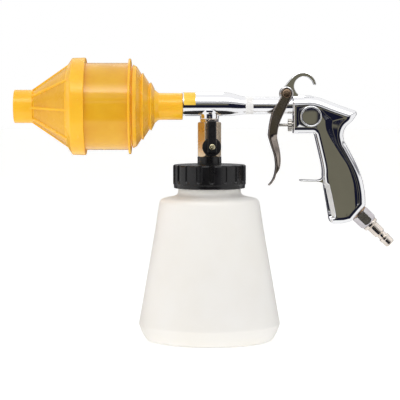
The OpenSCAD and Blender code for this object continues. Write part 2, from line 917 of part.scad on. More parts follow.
// Side outline of the casting from the tube's axis at its front face
function body_outline() = concat(
    [[0, -24.3]],
    [[0, 7.6]],
    smooth([[3, 7.8], [15, 8.2], [24, 6.4], [35, 2.2], [47, -2], [53.4, -4.1]], 3),
    arc(52.5, -6.9, 2.9, 60, -40, 5),
    smooth([[53.6, -10.2], [50.6, -14.1], [45.8, -18.6], [43.5, -24.6], [44.5, -31], [47.3, -36], [55.7, -52],
        [60.1, -63.7], [62.6, -76], [63.1, -86.9]], 4),
    [[52.3, -99.6]],
    smooth([[50.2, -101.2], [44, -102.8], [36.6, -103.1]], 3),
    arc(35.6, -99.5, 3.6, 270, 190, 5),
    [[26.4, -67.3]],
    smooth([[25.6, -61.3], [25.3, -53.4], [22.1, -39.2], [18.9, -26]], 3),
    arc(16.9, -26.3, 2, 0, 90, 4)
);

// Hanging hook, from the lug round its crown to its tip and back along the inside
function hook_outline() = concat(
    [[-9.5, 14.2]],
    smooth([[-7.4, 16.6], [-2, 23.3], [3.4, 27.6], [8.7, 28.9], [13.6, 27.6], [17.9, 24], [20.3, 18.4]], 4),
    [[19.4, 17.6], [18.4, 18.2]],
    arc(9.4, 16.8, 8.4, 10, 232, 20),
    [[5, 7.5], [-5, 7.5], [-11.5, 8.6]]
);

// Finger rest, with a fillet above and below at its root
function fin_outline() = concat(
    [[26 - fin_reach, -64.6], [26 - fin_reach, -64.6 - fin_t * 0.6]],
    smooth([[20, -64 - fin_t], [25, -64.2 - fin_t], [29, -67], [31, -71]], 4),
    [[33, -70], [33, -58]],
    smooth([[25.8, -58], [24.6, -61.6], [21, -63.4], [12, -64.2]], 4)
);

module gun_body() {
    cheek = (grip_w - grip_rim_w) / 2;
    passage_top = stem_z - 3;
    color("gainsboro")
        difference() {
            union() {
                at_body() {
                    slab(body_outline(), grip_rim_w);
                    rotate([90, 0, 0])
                        linear_extrude(grip_w - cheek, center = true)
                            offset(delta = -1.8)
                                polygon(body_outline());
                    rotate([90, 0, 0])
                        linear_extrude(grip_w, center = true)
                            offset(delta = -4)
                                polygon(body_outline());
                    slab(fin_outline(), grip_rim_w - 1);
                    slab(hook_outline(), hook_w);
                    translate([15.2, 0, -9.3])
                        rotate([90, 0, 0])
                            cylinder(h = grip_w + 1.6, r = side_boss_r, center = true);
                    rod_x(0, 16, tube_r + 1.6, 0);
                }
                translate([pivot_x, 0, pivot_z])
                    rotate([90, 0, 0])
                        cylinder(h = 2 * lug_half, r = lug_r, center = true);
                at_inlet()
                    translate([0, 0, -8])
                        cylinder(h = 8, r = adapter_r - 0.2);
            }
            // pivot hole and the seat of the thin tube
            translate([pivot_x, 0, pivot_z])
                rotate([90, 0, 0])
                    cylinder(h = 40, r = rivet_r + fit, center = true);
            rod_x(body_x - 30, tube_end - body_x + 30, tube_r + fit, tube_z);
            rod_x(tube_end - 1, 9, tube_bore_r, tube_z);
            // recesses of the side discs
            for (side = [-1, 1])
                translate([body_x + 15.2, side * (grip_w / 2 + 0.8), tube_z - 9.3])
                    rotate([90, 0, 0])
                        cylinder(h = 2.2, r = side_disc_r + fit, center = true);
            // air valve, port to the barrel and passage up the grip
            rod_x(body_x - 1, spring_end - body_x + 1, valve_sleeve_r + fit, stem_z);
            translate([port_x, 0, stem_z])
                cylinder(h = stem_drop, r = air_way_r);
            at_inlet() {
                cylinder(h = 5, r = adapter_r + 3);
                translate([0, 0, -9.5])
                    cylinder(h = 12, r = 5 + fit);
                translate([0, 0, -17])
                    cylinder(h = 12, r = air_way_r);
            }
            translate([spring_x + 6, 0, stem_z])
                rotate([0, 180 - 12.2, 0])
                    cylinder(h = 70, r = air_way_r);
        }
}

module side_discs() {
    color("#8A8878")
        for (side = [-1, 1])
            translate([body_x + 15.2, side * (grip_w / 2 + 0.2), tube_z - 9.3])
                rotate([90, 0, 0])
                    cylinder(h = 1, r = side_disc_r, center = true);
}

module inlet_adapter() {
    color("#6E6A6C")
        at_inlet()
            difference() {
                union() {
                    translate([0, 0, 1])
                        intersection() {
                            cylinder(h = adapter_len - 1, r = adapter_r, $fn = 6);
                            rotate_extrude()
                                polygon([[0, 0], [adapter_r, 0], [adapter_r, adapter_len - 2.4],
                                    [adapter_r - 1.6, adapter_len - 1], [0, adapter_len - 1]]);
                        }
                    translate([0, 0, -8])
                        cylinder(h = 10, r = 5);
                }
                translate([0, 0, -9])
                    cylinder(h = 12, r = plug_bore_r);
                translate([0, 0, 3])
                    cylinder(h = adapter_len, r = plug_r + 0.2 + fit);
            }
}

module inlet_washer() {
    color("#B87333")
        at_inlet()
            ring(0, 1, adapter_r - 0.6, 5 + fit);
}

module air_plug() {
    foot = adapter_len - 8;
    color("#E8E0D8")
        at_inlet()
            difference() {
                rotate_extrude()
                    polygon([
                        [0, foot], [plug_r + 0.2, foot], [plug_r + 0.2, adapter_len],
                        [adapter_r - 1.4, adapter_len], [adapter_r - 1.4, adapter_len + 2.2],
                        [plug_r, adapter_len + 3.2], [plug_r, adapter_len + 12.4],
                        [plug_groove_r, adapter_len + 13.4], [plug_groove_r, adapter_len + 16.6],
                        [plug_nose_r + 0.4, adapter_len + 17.2], [plug_nose_r + 0.4, adapter_len + 19.4],
                        [plug_nose_r, adapter_len + 20], [plug_nose_r, adapter_len + 24.9],
                        [plug_nose_r - 1, adapter_len + 25.9], [0, adapter_len + 25.9]
                    ]);
                translate([0, 0, foot - 1])
                    cylinder(h = 60, r = plug_bore_r);
            }
}

// ---------- air valve and trigger ----------

module valve_sleeve() {
    neck = 3.6;
    color("#B88A45")
        difference() {
            union() {
                rod_x(body_x, seat_x - body_x, valve_sleeve_r, stem_z);
                rod_x(body_x - 2.4, 3, neck, stem_z);
            }
            rod_x(body_x - 4, seat_x - body_x + 6, stem_r + 0.9, stem_z);
            rod_x(body_x - 4, 3.6, stem_r + 1.5, stem_z);
            ring_x(port_x - 2.8, 5.6, valve_sleeve_r + 1, valve_sleeve_r - 1, stem_z);
            translate([port_x, 0, stem_z])
                cylinder(h = 20, r = 1.3, center = true);
            translate([port_x, 0, stem_z])
                rotate([90, 0, 0])
                    cylinder(h = 20, r = 1.3, center = true);
        }
}

module gland_nut() {
    knurls = 20;
    nut_r = 5.4;
    color("silver")
        difference() {
            rod_x(gland_x, 3.2, nut_r, stem_z);
            rod_x(gland_x + 1.4, 4, 3.6 + fit, stem_z);
            rod_x(gland_x - 1, 6, stem_r + run, stem_z);
            for (i = [0 : knurls - 1])
                translate([0, 0, stem_z])
                    rotate([i * 360 / knurls, 0, 0])
                        translate([gland_x - 1, 0, nut_r + 0.15])
                            rotate([0, 90, 0])
                                cylinder(h = 6, r = 0.45, $fn = 6);
        }
}

module stem_packing() {
    color("white")
        ring_x(gland_x + 1.4, 1.9, stem_r + 1.5 - fit, stem_r + run, stem_z);
}

// Coil spring between the poppet and the end of its bore
module return_spring() {
    steps = 16;
    sides = 8;
    coil_r = poppet_r - spring_wire_r - 0.3;
    first = spring_x + spring_wire_r + 0.05;
    rise = spring_end - first - spring_wire_r - 0.05;
    last = spring_turns * steps;
    points = [
        for (i = [0 : last])
            for (k = [0 : sides - 1])
                let (a = 360 * i / steps, b = 360 * k / sides)
                let (r = coil_r + spring_wire_r * cos(b))
                [first + rise * i / last + spring_wire_r * sin(b), r * cos(a), stem_z + r * sin(a)]
    ];
    walls = [
        for (i = [0 : last - 1])
            for (k = [0 : sides - 1])
                let (n = (k + 1) % sides)
                [i * sides + k, (i + 1) * sides + k, (i + 1) * sides + n, i * sides + n]
    ];
    near_end = [for (k = [0 : sides - 1]) k];
    far_end = [for (k = [sides - 1 : -1 : 0]) last * sides + k];
    color("silver")
        polyhedron(points, concat(walls, [near_end, far_end]), convexity = 8);
}

module trigger_rivet() {
    head_y = ear_y + trigger_t + 0.1;
    color("#8C6F5A")
        translate([pivot_x, 0, pivot_z])
            rotate([90, 0, 0])
                difference() {
                    union() {
                        cylinder(h = 2 * head_y, r = rivet_r, center = true);
                        for (side = [0, 1])
                            mirror([0, 0, side])
                                translate([0, 0, head_y])
                                    rotate_extrude()
                                        polygon([[0, 0], [rivet_head_r, 0], [rivet_head_r, 0.7],
                                            [rivet_head_r - 0.5, 1.1], [0, 1.1]]);
                    }
                    for (side = [0, 1])
                        mirror([0, 0, side])
                            translate([0, 0, head_y + 0.7])
                                cylinder(h = 1, r = rivet_head_r - 1.2);
                }
}

// Front edge of the trigger from the pivot: down to the bend, and from the bend to the tip
upper_front = smooth([[-4.6, -2.6], [-9, -9.8], [-12.6, -17.7], [-14.7, -27.1], [-15.8, -36.4]], 3);
lower_front = smooth([[-15.5, -38.2], [-13.2, -45.8], [-10.4, -54.5], [-9.4, -64.1], [-10.6, -71.8],
    [-12.8, -76.5], [-15.8, -79.8]], 4);
trigger_rear = smooth([[-8.6, -70], [-5.9, -65.4], [-4.9, -58.3], [-5.6, -50], [-7.9, -39], [-7.8, -34.5],
    [-5.8, -25.3], [0, -12.3], [4.7, -2.2]], 3);

module trigger() {
    web_top = pivot_z - tube_z + tube_r + 0.6;
    front = concat(upper_front, lower_front);
    flange = concat(upper_front, [for (p = lower_front) if (p[1] > -71) p], trigger_rear);
    color("#4A403C")
        translate([pivot_x, 0, pivot_z])
            difference() {
                union() {
                    for (side = [-1, 1])
                        translate([0, side * (ear_y + trigger_t / 2), 0]) {
                            slab(flange, trigger_t);
                            rotate([90, 0, 0])
                                cylinder(h = trigger_t, r = ear_r, center = true);
                        }
                    intersection() {
                        slab(thickened(front, trigger_t), 2 * ear_y + 0.2);
                        translate([-40, -20, -100])
                            cube([60, 40, 100 - web_top]);
                    }
                }
                rotate([90, 0, 0])
                    cylinder(h = 60, r = rivet_r + run, center = true);
            }
}

module valve_stem() {
    color("silver")
        union() {
            rod_x(web_face_x, poppet_x - web_face_x + 0.5, stem_r, stem_z);
            rod_x(poppet_x, poppet_t, poppet_r, stem_z);
        }
}

module poppet_washer() {
    color("#2A2A2A")
        ring_x(seat_x, washer_t, poppet_r, stem_r + fit, stem_z);
}

bottle();
bottle_cap();
cap_gasket();
bottle_adapter();
dip_tube();
tube_strainer();
ball_valve_body();
ball_seats();
seat_retainer();
valve_packing();
packing_nut();
valve_ball();
ball_stem();
lever_plate();
lever_sleeve();
lever_screw();
valve_nipple();
mixing_barrel();
barrel_tube();
air_tube();
tube_bushing();
air_jet();
spray_nozzle();
sleeve_o_rings();
rear_cone();
canister();
nozzle_cone();
front_screen();
rear_screen();
foam_pad();
gun_body();
side_discs();
inlet_adapter();
inlet_washer();
air_plug();
valve_sleeve();
gland_nut();
stem_packing();
return_spring();
trigger_rivet();
trigger();
valve_stem();
poppet_washer();
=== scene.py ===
import bmesh
import bpy
import numpy as np
from math import cos, pi, radians, sin
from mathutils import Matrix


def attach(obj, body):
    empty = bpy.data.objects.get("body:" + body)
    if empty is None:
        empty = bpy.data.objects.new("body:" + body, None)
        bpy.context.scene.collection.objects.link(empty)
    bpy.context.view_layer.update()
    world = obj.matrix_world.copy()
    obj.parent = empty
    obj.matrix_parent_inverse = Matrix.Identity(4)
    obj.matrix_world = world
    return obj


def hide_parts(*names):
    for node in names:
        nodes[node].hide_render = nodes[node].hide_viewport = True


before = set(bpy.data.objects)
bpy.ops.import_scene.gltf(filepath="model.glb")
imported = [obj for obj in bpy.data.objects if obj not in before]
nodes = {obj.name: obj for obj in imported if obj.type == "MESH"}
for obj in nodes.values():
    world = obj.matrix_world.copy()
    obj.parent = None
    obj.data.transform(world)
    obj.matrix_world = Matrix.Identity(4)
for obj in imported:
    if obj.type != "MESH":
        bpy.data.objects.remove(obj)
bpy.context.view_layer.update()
mm = 0.001  # shapes are worked out in mm and written in metres
print("frame loaded,", len(nodes), "nodes")


def unit(v):
    # each row divided by its own length
    return v / np.maximum(np.linalg.norm(v, axis=-1, keepdims=True), 1e-9)


def curve(points, steps=8):
    # Catmull-Rom: a cubic between each two points; its slope at a point is half the way from the last
    # point to the next
    p = np.array(points, float)
    p = np.vstack([p[:1], p, p[-1:]])
    t = np.linspace(0, 1, steps, endpoint=False)[:, None, None]
    a, b, c, d = p[:-3], p[1:-2], p[2:-1], p[3:]
    q = 0.5 * (2 * b + (c - a) * t + (2 * a - 5 * b + 4 * c - d) * t ** 2
               + (3 * b - a - 3 * c + d) * t ** 3)
    return np.vstack([q.transpose(1, 0, 2).reshape(-1, p.shape[1]), p[-1:]])


def arc(x, z, r, start, end, steps=12):
    # points of a circle's arc between two angles in degrees
    a = np.radians(np.linspace(start, end, steps))
    return np.column_stack([x + r * np.cos(a), z + r * np.sin(a)])


def rounded(corners, steps=5):
    # path through corners (x, y, radius): each is a circular arc, written as a rational quadratic curve
    # whose middle weight is the sine of half the corner's angle
    c = np.array([tuple(k) + (0,) * (3 - len(k)) for k in corners], float)
    p, r = c[:, :2], c[1:-1, 2:]
    back, ahead = unit(p[:-2] - p[1:-1]), unit(p[2:] - p[1:-1])
    w = np.sqrt(np.clip(0.5 - 0.5 * (back * ahead).sum(1, keepdims=True), 1e-6, 1))
    room = 0.49 * np.minimum(np.linalg.norm(p[:-2] - p[1:-1], axis=1),
                             np.linalg.norm(p[2:] - p[1:-1], axis=1))
    cut = np.minimum(r * np.sqrt(1 - np.minimum(w, 0.9999) ** 2) / w, room[:, None])
    a, b, m = p[1:-1] + back * cut, p[1:-1] + ahead * cut, p[1:-1]
    s = np.linspace(0, 1, steps)[:, None, None]
    top = (1 - s) ** 2 * a + 2 * s * (1 - s) * w * m + s ** 2 * b
    arcs = (top / ((1 - s) ** 2 + 2 * s * (1 - s) * w + s ** 2)).transpose(1, 0, 2).reshape(-1, 2)
    path = np.vstack([p[:1], arcs, p[-1:]])
    return path[np.r_[True, np.linalg.norm(np.diff(path, axis=0), axis=1) > 1e-4]]


def evenly(path, count, most=None):
    # the same path with its points at equal distances, or no further apart than the given length
    d = np.r_[0, np.cumsum(np.linalg.norm(np.diff(path, axis=0), axis=1))]
    s = np.linspace(0, d[-1], count)
    if most:
        s = np.unique(np.r_[d, np.linspace(0, d[-1], int(d[-1] / most) + 2)].round(5))
    return np.column_stack([np.interp(s, d, path[:, k]) for k in range(path.shape[1])])


def step(low, high, x):
    # 0 below low, 1 above high, and a smooth S between them
    t = np.clip((x - low) / (high - low), 0, 1)
    return t * t * (3 - 2 * t)


def gridQuads(rows, cols, joinRows=False, joinCols=False):
    # corner numbers of a grid's quads; a joined direction runs round to its start
    i = np.arange(rows if joinRows else rows - 1)[:, None]
    j = np.arange(cols if joinCols else cols - 1)[None, :]
    i2, j2 = (i + 1) % rows, (j + 1) % cols
    return np.stack([i * cols + j, i * cols + j2, i2 * cols + j2, i2 * cols + j], -1).reshape(-1, 4)


def addPiece(name, points, faces, material, body, slot, stands=(), sharp=38, bevel=0):
    # a mesh from points in mm; its faces are turned outwards, found from the sign of the closed volume
    mesh = bpy.data.meshes.new(name)
    mesh.from_pydata((np.asarray(points).reshape(-1, 3) * mm).tolist(), [],
                     [list(map(int, f)) for f in faces])
    work = bmesh.new()
    work.from_mesh(mesh)
    bmesh.ops.remove_doubles(work, verts=work.verts, dist=1e-7)
    if work.calc_volume(signed=True) < 0:
        bmesh.ops.reverse_faces(work, faces=work.faces)
    work.to_mesh(mesh)
    work.free()
    mesh.shade_smooth()
    mesh.set_sharp_from_angle(angle=radians(sharp))
    piece = bpy.data.objects.new(name, mesh)
    bpy.context.scene.collection.objects.link(piece)
    mesh.materials.append(material)
    if bevel:
        edge = piece.modifiers.new("edge", "BEVEL")
        edge.width, edge.segments, edge.limit_method = bevel * mm, 3, "ANGLE"
        edge.angle_limit = radians(30)
    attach(piece, body)
    if stands:
        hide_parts(*stands)
    return piece


def lathe(profile, place, turns=128, change=None, closed=False):
    # a profile of (radius, height) turned round an axis; change(r, h, angle) may move each radius
    angle = np.linspace(0, 2 * pi, turns, endpoint=False)[None, :]
    r, h = profile[:, :1] + 0 * angle, profile[:, 1:2] + 0 * angle
    if change:
        r = change(r, h, angle)
    points = place(r * np.cos(angle), r * np.sin(angle), h)
    faces = gridQuads(len(profile), turns, closed, True).tolist()
    if not closed:
        faces += [list(range(turns))[::-1], list(range((len(profile) - 1) * turns, len(profile) * turns))]
    return points.reshape(-1, 3), faces


def upright(u, v, h):
    return np.stack([u, v, h], -1)


def alongX(z):
    # angle 0 is straight up, and 90 degrees is the -Y side
    return lambda u, v, h: np.stack([h, -v, z + u], -1)


def along(origin, out, right):
    # heights run out from the origin, angle 0 lies on the right
    out, right = unit(np.array(out, float)), unit(np.array(right, float))
    side = np.cross(out, right)
    return lambda u, v, h: np.array(origin) + h[..., None] * out + u[..., None] * right + v[...,
                                                                                            None] * side


def hexColour(text):
    c = np.array([int(text[i:i + 2], 16) for i in (1, 3, 5)]) / 255
    return (*np.where(c <= 0.04045, c / 12.92, ((c + 0.055) / 1.055) ** 2.4).tolist(), 1.0)


def addNode(tree, kind, settings=None, links=None):
    # one node; settings are its inputs or its own properties, links are {input: (node, output)}
    node = tree.nodes.new("ShaderNode" + kind)
    for name, value in (settings or {}).items():
        if name == "stops":
            ramp = node.color_ramp
            while len(ramp.elements) < len(value):
                ramp.elements.new(0.5)
            for element, (place, colour) in zip(ramp.elements, value):
                element.position, element.color = place, hexColour(colour)
        elif isinstance(name, int) or name in node.inputs:
            node.inputs[name].default_value = value
        else:
            setattr(node, name, value)
    for name, (source, output) in (links or {}).items():
        tree.links.new(source.outputs[output], node.inputs[name])
    return node


def finish(name, look):
    # colour patches, rough patches and a fine bump, each a noise with its own real size in mm
    material = bpy.data.materials.new(name)
    material.use_nodes = True
    tree = material.node_tree
    surface = tree.nodes["Principled BSDF"]
    for socket, value in look.get("shader", {}).items():
        surface.inputs[socket].default_value = value
    coords = addNode(tree, "TexCoord")
    patches = addNode(tree, "TexNoise", {"Scale": 1000 / look["patch"], "Detail": 3.0},
                      {"Vector": (coords, "Object")})
    tint = addNode(tree, "ValToRGB", {"stops": look["colours"]}, {"Fac": (patches, "Fac")})
    tree.links.new(tint.outputs["Color"], surface.inputs["Base Color"])
    low, high, size = look["rough"]
    smears = addNode(tree, "TexNoise", {"Scale": 1000 / size, "Detail": 4.0},
                     {"Vector": (coords, "Object")})
    spread = addNode(tree, "MapRange", {"From Min": 0.3, "From Max": 0.7, "To Min": low, "To Max": high},
                     {"Value": (smears, "Fac")})
    tree.links.new(spread.outputs["Result"], surface.inputs["Roughness"])
    depth, size = look["bump"]
    grain = addNode(tree, "TexNoise", {"Scale": 1000 / size, "Detail": 2.0}, {"Vector": (coords, "Object")})
    bump = addNode(tree, "Bump", {"Strength": 1.0, "Distance": depth * mm}, {"Height": (grain, "Fac")})
    tree.links.new(bump.outputs["Normal"], surface.inputs["Normal"])
    return material


finishes = {
    # blow-moulded HDPE, unpigmented: the eye gets a milky, waxy white with light soaking into the wall
    "blow-moulded HDPE": {"patch": 55, "colours": [(0.35, "#F8F4ED"), (0.65, "#FBF8F3")],
                          "rough": (0.36, 0.46, 18), "bump": (0.02, 1.6),
                          "shader": {"Subsurface Weight": 0.35, "Subsurface Scale": 0.004,
                                     "Subsurface Radius": (1.0, 0.98, 0.93), "IOR": 1.54}},
    # injection-moulded polypropylene, black: a soft grey sheen broken up by the fine grain of its mould
    "moulded PP black": {"patch": 14, "colours": [(0.35, "#0D0C0E"), (0.65, "#131215")],
                         "rough": (0.24, 0.34, 6), "bump": (0.012, 0.35), "shader": {"IOR": 1.42}},
    # injection-moulded polypropylene, warm yellow: satin and slightly waxy, with wide soft highlights
    "moulded PP yellow": {"patch": 30, "colours": [(0.35, "#FBBA1F"), (0.65, "#FFC32B")],
                          "rough": (0.2, 0.28, 12), "bump": (0.02, 1.2),
                          "shader": {"IOR": 1.49, "Subsurface Weight": 0.15, "Subsurface Scale": 0.003}},
    # the same plastic in a browner yellow: painted shade for the cone faces that slope away from the light
    "PP yellow, painted shade": {"patch": 30, "colours": [(0.35, "#E3A31D"), (0.65, "#ECB128")],
                       "rough": (0.22, 0.32, 12), "bump": (0.02, 1.2), "shader": {"IOR": 1.49}},
    # injection-moulded ABS, deeper amber: pale bands of clear reflection from a polished mould
    "moulded ABS amber": {"patch": 26, "colours": [(0.35, "#E0A318"), (0.65, "#E8B024")],
                          "rough": (0.13, 0.19, 14), "bump": (0.008, 4.0),
                          "shader": {"IOR": 1.48, "Coat Weight": 0.15, "Coat Roughness": 0.06}},
    # chrome plate over a die casting: a bright mirror whose lines waver with the casting under it
    "chrome plate": {"patch": 40, "colours": [(0.35, "#E4E4E6"), (0.65, "#EEEEF0")],
                     "rough": (0.05, 0.11, 9), "bump": (0.012, 5.0), "shader": {"Metallic": 1.0}},
    # chrome plate over turned and polished tube: long straight bands of light and dark
    "chrome tube": {"patch": 40, "colours": [(0.35, "#E6E6E8"), (0.65, "#F0F0F2")],
                    "rough": (0.07, 0.13, 12), "bump": (0.006, 7.0), "shader": {"Metallic": 1.0}},
    # black-nickel plate on pressed sheet: a dim brown mirror that lights up where the sheet turns
    "dark plate": {"patch": 22, "colours": [(0.35, "#90867F"), (0.65, "#9E948C")], "rough": (0.16, 0.26, 8),
                   "bump": (0.015, 2.5), "shader": {"Metallic": 1.0}},
    # zinc plate with a yellow chromate bath, on a screw: pale gold with a small sharp glint
    "yellow-chromated steel": {"patch": 3, "colours": [(0.35, "#D8CFA8"), (0.65, "#E8E0C0")],
                               "rough": (0.2, 0.3, 3), "bump": (0.006, 0.5), "shader": {"Metallic": 1.0}},
    # milled brass bar: warm and slightly tarnished flats, each an even tone of its own
    "milled brass": {"patch": 9, "colours": [(0.25, "#D5C09F"), (0.75, "#DECBB0")],
                     "rough": (0.24, 0.34, 6), "bump": (0.004, 0.9), "shader": {"Metallic": 1.0}},
    # zinc plate on turned and drawn steel: cool grey with a frosted edge to its highlights
    "zinc-plated steel": {"patch": 5, "colours": [(0.35, "#9C9892"), (0.65, "#BDB9B2")],
                          "rough": (0.22, 0.36, 4), "bump": (0.01, 0.6), "shader": {"Metallic": 1.0}},
    # nickel plate on turned steel: a clean mirror, a little warmer than chrome
    "nickel plate": {"patch": 9, "colours": [(0.35, "#D8CEC4"), (0.65, "#E8DFD6")], "rough": (0.12, 0.2, 5),
                     "bump": (0.008, 1.5), "shader": {"Metallic": 1.0}},
    # machined steel with a film of oil: pale lilac grey flats with soft streaks
    "oiled steel": {"patch": 6, "colours": [(0.35, "#BDB8BB"), (0.65, "#C9C5C8")], "rough": (0.16, 0.26, 4),
                    "bump": (0.012, 0.7), "shader": {"Metallic": 1.0}},
    # steel with a thin copper wash: brown, dull, uneven from handling
    "copper-toned steel": {"patch": 4, "colours": [(0.35, "#8C6F5A"), (0.65, "#B89F86")],
                           "rough": (0.24, 0.38, 3), "bump": (0.01, 0.6), "shader": {"Metallic": 1.0}},
    # vinyl dip over steel: thick black with a rounded, slightly rippled shine
    "vinyl black": {"patch": 9, "colours": [(0.35, "#0F0F11"), (0.65, "#171618")], "rough": (0.24, 0.34, 4),
                    "bump": (0.03, 0.5), "shader": {"IOR": 1.5}},
    # compression-moulded nitrile rubber: charcoal that hardly shines
    "moulded rubber": {"patch": 7, "colours": [(0.35, "#1B1B1C"), (0.65, "#252425")],
                       "rough": (0.55, 0.7, 4), "bump": (0.03, 0.4), "shader": {"IOR": 1.52}},
    # PTFE skived from a bar: chalky white, faintly see-through at its edges
    "skived PTFE": {"patch": 8, "colours": [(0.35, "#EFEDE8"), (0.65, "#F6F5F2")], "rough": (0.4, 0.5, 4),
                    "bump": (0.01, 0.5),
                    "shader": {"IOR": 1.38, "Subsurface Weight": 0.2, "Subsurface Scale": 0.002}},
    # extruded polyethylene tube: cloudy, so that what is inside shows as a shadow
    "extruded PE": {"patch": 12, "colours": [(0.35, "#E2E4E2"), (0.65, "#ECEDEB")],
                    "rough": (0.28, 0.38, 5), "bump": (0.01, 1.0),
                    "shader": {"IOR": 1.51, "Transmission Weight": 0.35}},
    # cast vinyl label film in yellow: flat, with an even satin shine
    "yellow film": {"patch": 9, "colours": [(0.35, "#F3C63C"), (0.65, "#F8D04C")], "rough": (0.34, 0.44, 5),
                    "bump": (0.01, 0.8), "shader": {"IOR": 1.5}},
    # white tape and foam: a plain white that keeps a soft shadow
    "white film": {"patch": 9, "colours": [(0.35, "#ECEBEA"), (0.65, "#F4F3F2")], "rough": (0.36, 0.46, 5),
                   "bump": (0.01, 0.8), "shader": {"IOR": 1.5}},
}
made = {name: finish(name, look) for name, look in finishes.items()}
print("materials made,", len(made))


view = {"place": (-0.0083, -1.55, 0.2172), "aim": (-0.0086, 0.0, 0.1228), "lens": 159.3}
camera = bpy.data.objects.new("camera", bpy.data.cameras.new("camera"))
bpy.context.scene.collection.objects.link(camera)
camera.data.sensor_width, camera.data.lens, camera.data.clip_end = 36, view["lens"], 50
camera.location = view["place"]
camera.rotation_euler = (pi / 2 - np.arctan2(view["place"][2] - view["aim"][2], -view["place"][1]), 0, 0)
bpy.context.scene.camera = camera
bpy.context.scene.view_settings.view_transform = "Standard"


def softbox(name, place, aim, size, watts):
    # a square area light turned to its aim
    light = bpy.data.objects.new(name, bpy.data.lights.new(name, "AREA"))
    bpy.context.scene.collection.objects.link(light)
    light.data.shape, light.data.size, light.data.size_y = "RECTANGLE", size[0], size[1]
    light.data.energy = watts
    light.visible_camera = light.visible_glossy = False
    light.location = place
    aim = np.array(place, float) - np.array(aim, float)
    side, rise = np.hypot(aim[0], aim[1]), aim[2]
    light.rotation_euler = (np.arctan2(side, rise), 0, np.arctan2(aim[0], -aim[1]))
    return light


softbox("key", (-0.9, -1.1, 1.5), (0, 0, 0.15), (0.9, 0.9), 6)
softbox("top", (0.1, 0.25, 1.3), (0, 0, 0.2), (1.6, 0.35), 4)

# White room. Polished metal mirrors a dark patch on the camera's side, olive in its middle and navy
# round it, a grey screen behind the part and a faint grey band all round above eye height. A lamp with
# a straight lower edge stands over the patch.
# Heights are sines of the rise, widths are the sideways share of the way forwards.
room = {"diffuse": 0.72, "mirror": 1.06, "low": -0.66, "high": 0.2, "half": 0.72, "navy": "#15172A",
        "olive": "#6F6C5C", "band": "#8C8C90", "back": "#62626A", "lamp": 5.0}
world = bpy.data.worlds.new("white room")
bpy.context.scene.world = world
world.use_nodes = True
tree = world.node_tree
tree.nodes.clear()


def calc(operation, a, b):
    # arithmetic on two node outputs or numbers
    node = addNode(tree, "Math", {"operation": operation})
    for place, value in ((0, a), (1, b)):
        if isinstance(value, (int, float)):
            node.inputs[place].default_value = value
        else:
            tree.links.new(value, node.inputs[place])
    return node.outputs[0]


def ease(value, start, end):
    # 0 at start, 1 at end, smooth between them
    node = addNode(tree, "MapRange", {"interpolation_type": "SMOOTHSTEP", "From Min": start,
                                      "From Max": end})
    tree.links.new(value, node.inputs["Value"])
    return node.outputs["Result"]


direction = addNode(tree, "TexCoord")
parts = addNode(tree, "SeparateXYZ", links={"Vector": (direction, "Generated")})
sideward, backward, upward = (parts.outputs[letter] for letter in "XYZ")
ahead = calc("MAXIMUM", calc("MULTIPLY", backward, -1), 0.02)
aside = calc("DIVIDE", calc("ABSOLUTE", sideward, 0), ahead)
patch = calc("MULTIPLY", ease(upward, room["low"], room["low"] + 0.1),
             ease(upward, room["high"], room["high"] - 0.07))
patch = calc("MULTIPLY", patch, ease(aside, room["half"] + 0.12, room["half"] - 0.12))
middle = calc("MULTIPLY", ease(calc("ABSOLUTE", calc("ADD", upward, 0.04), 0), 0.13, 0.08),
              ease(aside, 0.19, 0.12))
around = calc("MULTIPLY", ease(upward, 0.22, 0.27), ease(upward, 0.42, 0.36))
behind = calc("DIVIDE", calc("ABSOLUTE", sideward, 0), calc("MAXIMUM", backward, 0.02))
far = calc("MULTIPLY", calc("MULTIPLY", ease(upward, -0.5, -0.3), ease(upward, 0.2, 0.1)),
           ease(behind, 1.5, 0.9))
lamp = calc("MULTIPLY", ease(upward, 0.6, 0.612), ease(upward, 0.95, 0.62))
lamp = calc("MULTIPLY", lamp, ease(aside, 1.3, 0.9))
darks = addNode(tree, "MixRGB", {"Color1": hexColour(room["navy"]), "Color2": hexColour(room["olive"])})
tree.links.new(middle, darks.inputs["Fac"])
banded = addNode(tree, "MixRGB", {"Color1": (1, 1, 1, 1), "Color2": hexColour(room["band"])})
tree.links.new(around, banded.inputs["Fac"])
backed = addNode(tree, "MixRGB", {"Color2": hexColour(room["back"])}, {"Color1": (banded, "Color")})
tree.links.new(far, backed.inputs["Fac"])
mirrored = addNode(tree, "MixRGB", links={"Color1": (backed, "Color"), "Color2": (darks, "Color")})
tree.links.new(patch, mirrored.inputs["Fac"])
rays = addNode(tree, "LightPath")
plain = addNode(tree, "Background", {"Color": (1, 1, 1, 1), "Strength": 1.0})
soft = addNode(tree, "Background", {"Color": (1, 0.995, 0.985, 1), "Strength": room["diffuse"]})
glossy = addNode(tree, "Background", {}, {"Color": (mirrored, "Color")})
tree.links.new(calc("ADD", calc("MULTIPLY", lamp, room["lamp"]), room["mirror"]), glossy.inputs["Strength"])
lit = addNode(tree, "MixShader", links={"Fac": (rays, "Is Glossy Ray"), 1: (soft, 0), 2: (glossy, 0)})
seen = addNode(tree, "MixShader", links={"Fac": (rays, "Is Camera Ray"), 1: (lit, 0), 2: (plain, 0)})
addNode(tree, "OutputWorld", links={"Surface": (seen, 0)})

